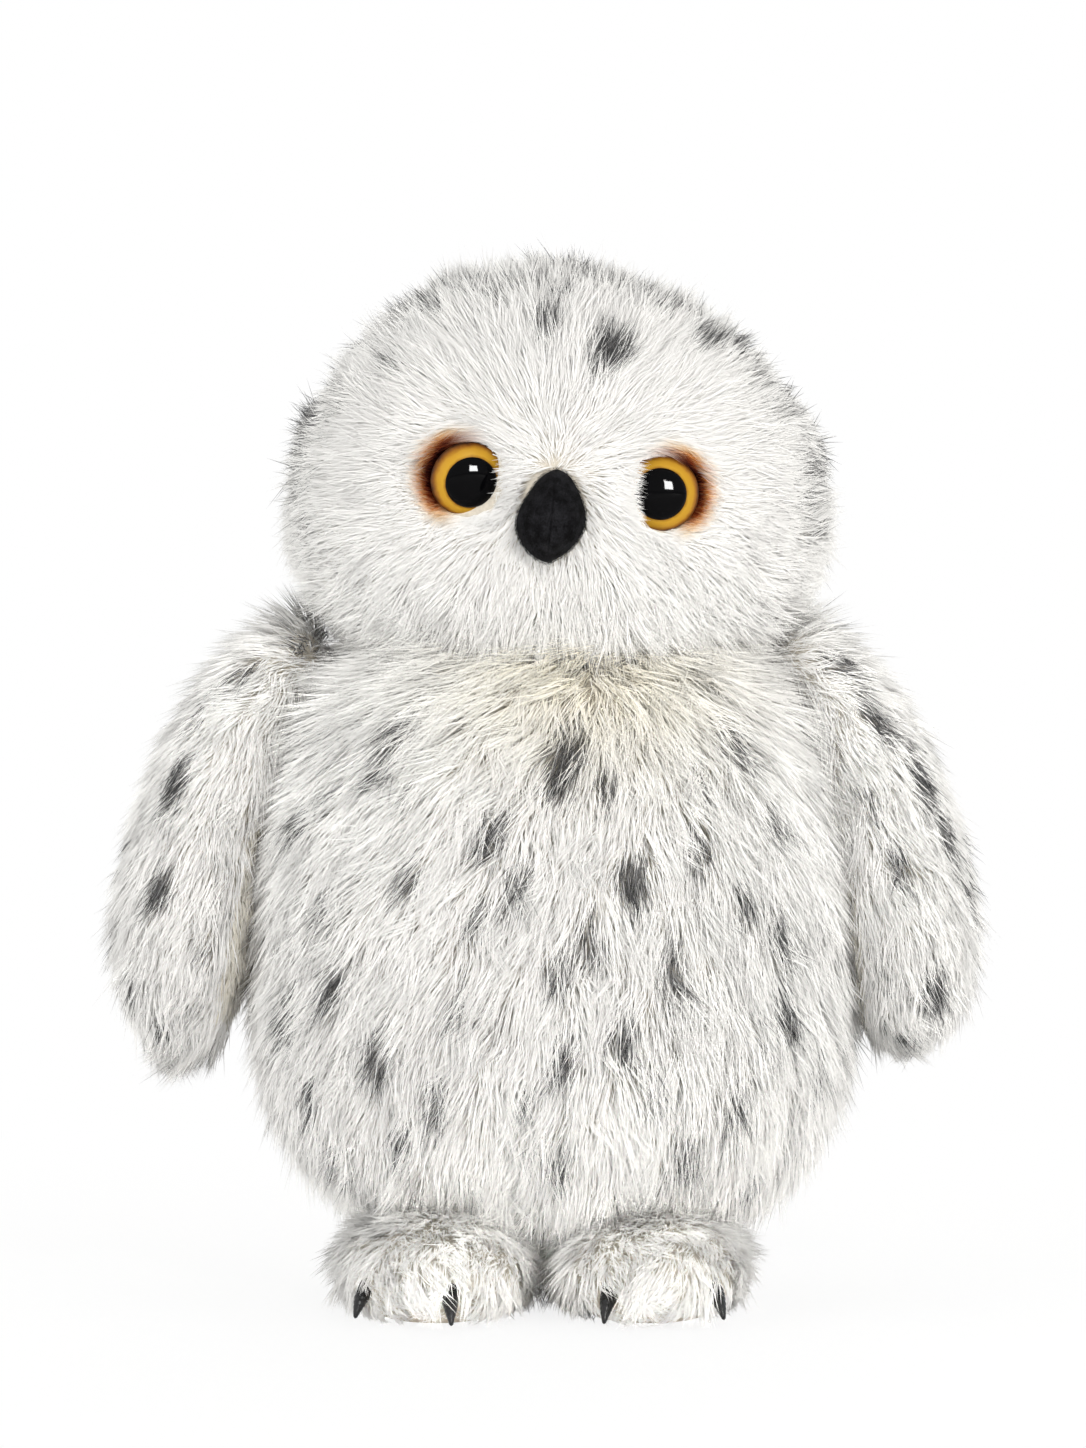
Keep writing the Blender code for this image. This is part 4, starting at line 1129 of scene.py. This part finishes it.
def claws_clear(points):
    """Drops strands that would cover a claw past its root."""
    fine = np.ones(len(points), bool)
    for middle, turn in CLAW_TURNS.values():
        shown = claw_line(middle, turn)[0][8:]
        apart = (points[:, 1:, None, :] - shown[None, None]) * (1, 0.35, 1)
        fine &= ~((apart ** 2).sum(-1) < (2.6 * MM) ** 2).any((1, 2))
    return fine


for name, middle, seed in (("left_foot", -30.6, 400), ("right_foot", 29.4, 410)):
    foot_skin = egg((middle, -28, 12), 24.8, 45.6, 17.5, 15, 2.3, 2.3, shape=stand_flat)
    stuffed(
        f"{name}_backing", "torso", (f"{name}_upper", f"{name}_sole"), foot_skin, long_backing, 0.85,
        rows=40, columns=64)
    grow(
        f"{name}_upper_pile", "torso", f"{name}_upper", foot_skin, 1450,
        lambda p, n: (p[:, 2] > 3.0 * MM) & ~((p[:, 2] > 23 * MM) & (p[:, 1] > -20 * MM)),
        brushed(metres(middle, -2, 34), (0, -0.25, -0.1)),
        lambda p: (8 + 6 * climb(p, 2, 3, 16)) * MM, seed, clear=claws_clear,
        lean=(34, 6), turning=0.3, softness=0.9)


# Claws: moulded black plastic, pushed through the cover and held by a flange behind it. They are
# glossy, with fine rings round them from the mould.
def claw_finish():
    """Moulded black ABS: glossy black, a little uneven, so that its highlights break up."""
    made, tree, shader = new_finish("moulded_black_abs")
    cloud = noise(tree, 1200.0, 3.0)
    join(tree, shader, "Roughness", remap(tree, cloud, 0.14, 0.30))
    bump(tree, shader, cloud, 0.25, 0.2 * MM)
    shader.inputs["Base Color"].default_value = linear("#0c0c0d")
    return made


black_abs = claw_finish()
for name, (middle, turn) in CLAW_TURNS.items():
    line, outward = claw_line(middle, turn, 46)
    share = np.linspace(0, 1, len(line))
    radius = (2.9 * (1 - share ** 2.2) + 0.55 * share ** 2.2) * MM
    radius = radius * (1 + 0.045 * np.sin(share * 2 * np.pi * 11) * (share < 0.9))
    way = unit(np.gradient(line, axis=0))
    flat = unit(np.cross(outward, (0, 0, 1.0)))
    over = np.cross(way, flat)
    turns = 2 * np.pi * np.arange(20)[:, None] / 20
    ring = flat * np.cos(turns) + over[:, None] * np.sin(turns)
    grid = line[:, None] + radius[:, None, None] * ring
    ends = np.stack([line[0] - way[0] * 0.3 * MM, line[-1] + way[-1] * 0.45 * MM])
    claw = mesh_object(
        f"{name}_horn", np.concatenate([grid.reshape(-1, 3), ends]), closed_grid(len(line), 20),
        black_abs)
    stand_in(claw, "torso", name)


# Tail: a short flat leaf of spotted pile on the lower back, sewn on along its upper end.
TAIL_SEAM = metres(2.5, 62, 84)
TAIL_TILT = math.pi / 2 - math.radians(66)


def tail_place(points):
    """Lays an upright leaf down from its seam, by a turn about the x axis."""
    c, s = math.cos(TAIL_TILT), math.sin(TAIL_TILT)
    y, z = points[..., 1], points[..., 2] - 50 * MM
    turned = np.stack([points[..., 0], c * y - s * z, s * y + c * z], -1)
    return turned + TAIL_SEAM * (0, 1, 1)


tail_skin = egg((2.5, 0, 24), 27, 9, 26, 24, 2.6, 2.4, shape=tail_place)
tail_spots = scattered_spots(tail_skin, 12, 31, lambda p, n: n[:, 1] > 0)
stuffed(
    "tail_backing", "tail", ("tail_outer", "tail_lining"), tail_skin, long_backing, 0.75,
    rows=40, columns=48)
grow(
    "tail_outer_pile", "tail", "tail_outer", tail_skin, 640, lambda p, n: n[:, 1] > -0.3,
    lambda p, n: (p - TAIL_SEAM) + np.array([0, 0.01, -0.03]), even(12.5 * MM), 500,
    printed(even(0.0), tail_spots))
grow(
    "tail_lining_pile", "tail", "tail_lining", tail_skin, 430, lambda p, n: n[:, 1] <= -0.3,
    lying(0, 0.1, -1.0), even(7 * MM), 510, stains=((even(0.5), CREAM_PILE),), per_lock=8)


# Inside: polyester fibre, a calico bag of pellets and two lock washers. They are the solids of the
# frame, and get the finish of what they are.
def fibre_finish():
    """Carded hollow polyester fibre: white, cloudy and dull."""
    made, tree, shader = new_finish("carded_polyester_fibre", 1.0)
    cloud = noise(tree, 140.0, 8.0, Roughness=0.7)
    shade = ramp(tree, cloud, (0.3, linear("#d9d8d4")), (0.7, linear("#f4f3f0")))
    join(tree, shader, "Base Color", shade)
    bump(tree, shader, cloud, 0.8, 1.0 * MM)
    return made


def calico_finish():
    """Plain woven cotton, unbleached: cream, with threads 1 mm apart both ways."""
    made, tree, shader = new_finish("unbleached_calico", 0.9)
    place = add_node(tree, "ShaderNodeTexCoord").outputs["Object"]
    warp, weft = (
        add_node(tree, "ShaderNodeTexWave", {"bands_direction": way}, Vector=place, Scale=320.0)
        for way in "XZ")
    weave = combine(tree, "MAXIMUM", warp.outputs["Fac"], weft.outputs["Fac"])
    shade = ramp(tree, weave, (0.0, linear("#cbbf9f")), (1.0, linear("#ece3c8")))
    join(tree, shader, "Base Color", shade)
    bump(tree, shader, weave, 0.5, 0.2 * MM)
    return made


def nylon_finish():
    """Moulded natural nylon: milky white, satin, with faint flow marks."""
    made, tree, shader = new_finish("moulded_natural_nylon", 0.4)
    shade = ramp(tree, noise(tree, 260.0, 2.0), (0.0, linear("#dedcd2")), (1.0, linear("#f1efe8")))
    join(tree, shader, "Base Color", shade)
    return made


def dress(finish, *names):
    """Gives solids of the frame their finish."""
    for name in names:
        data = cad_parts[name].data
        data.materials.clear()
        data.materials.append(finish)


dress(
    fibre_finish(), "body_fill", "neck_fill", "head_fill", "left_wing_fill", "right_wing_fill",
    "left_foot_fill", "right_foot_fill", "tail_fill", "beak_fill")
dress(calico_finish(), "pellet_bag")
dress(nylon_finish(), "left_eye_washer", "right_eye_washer")
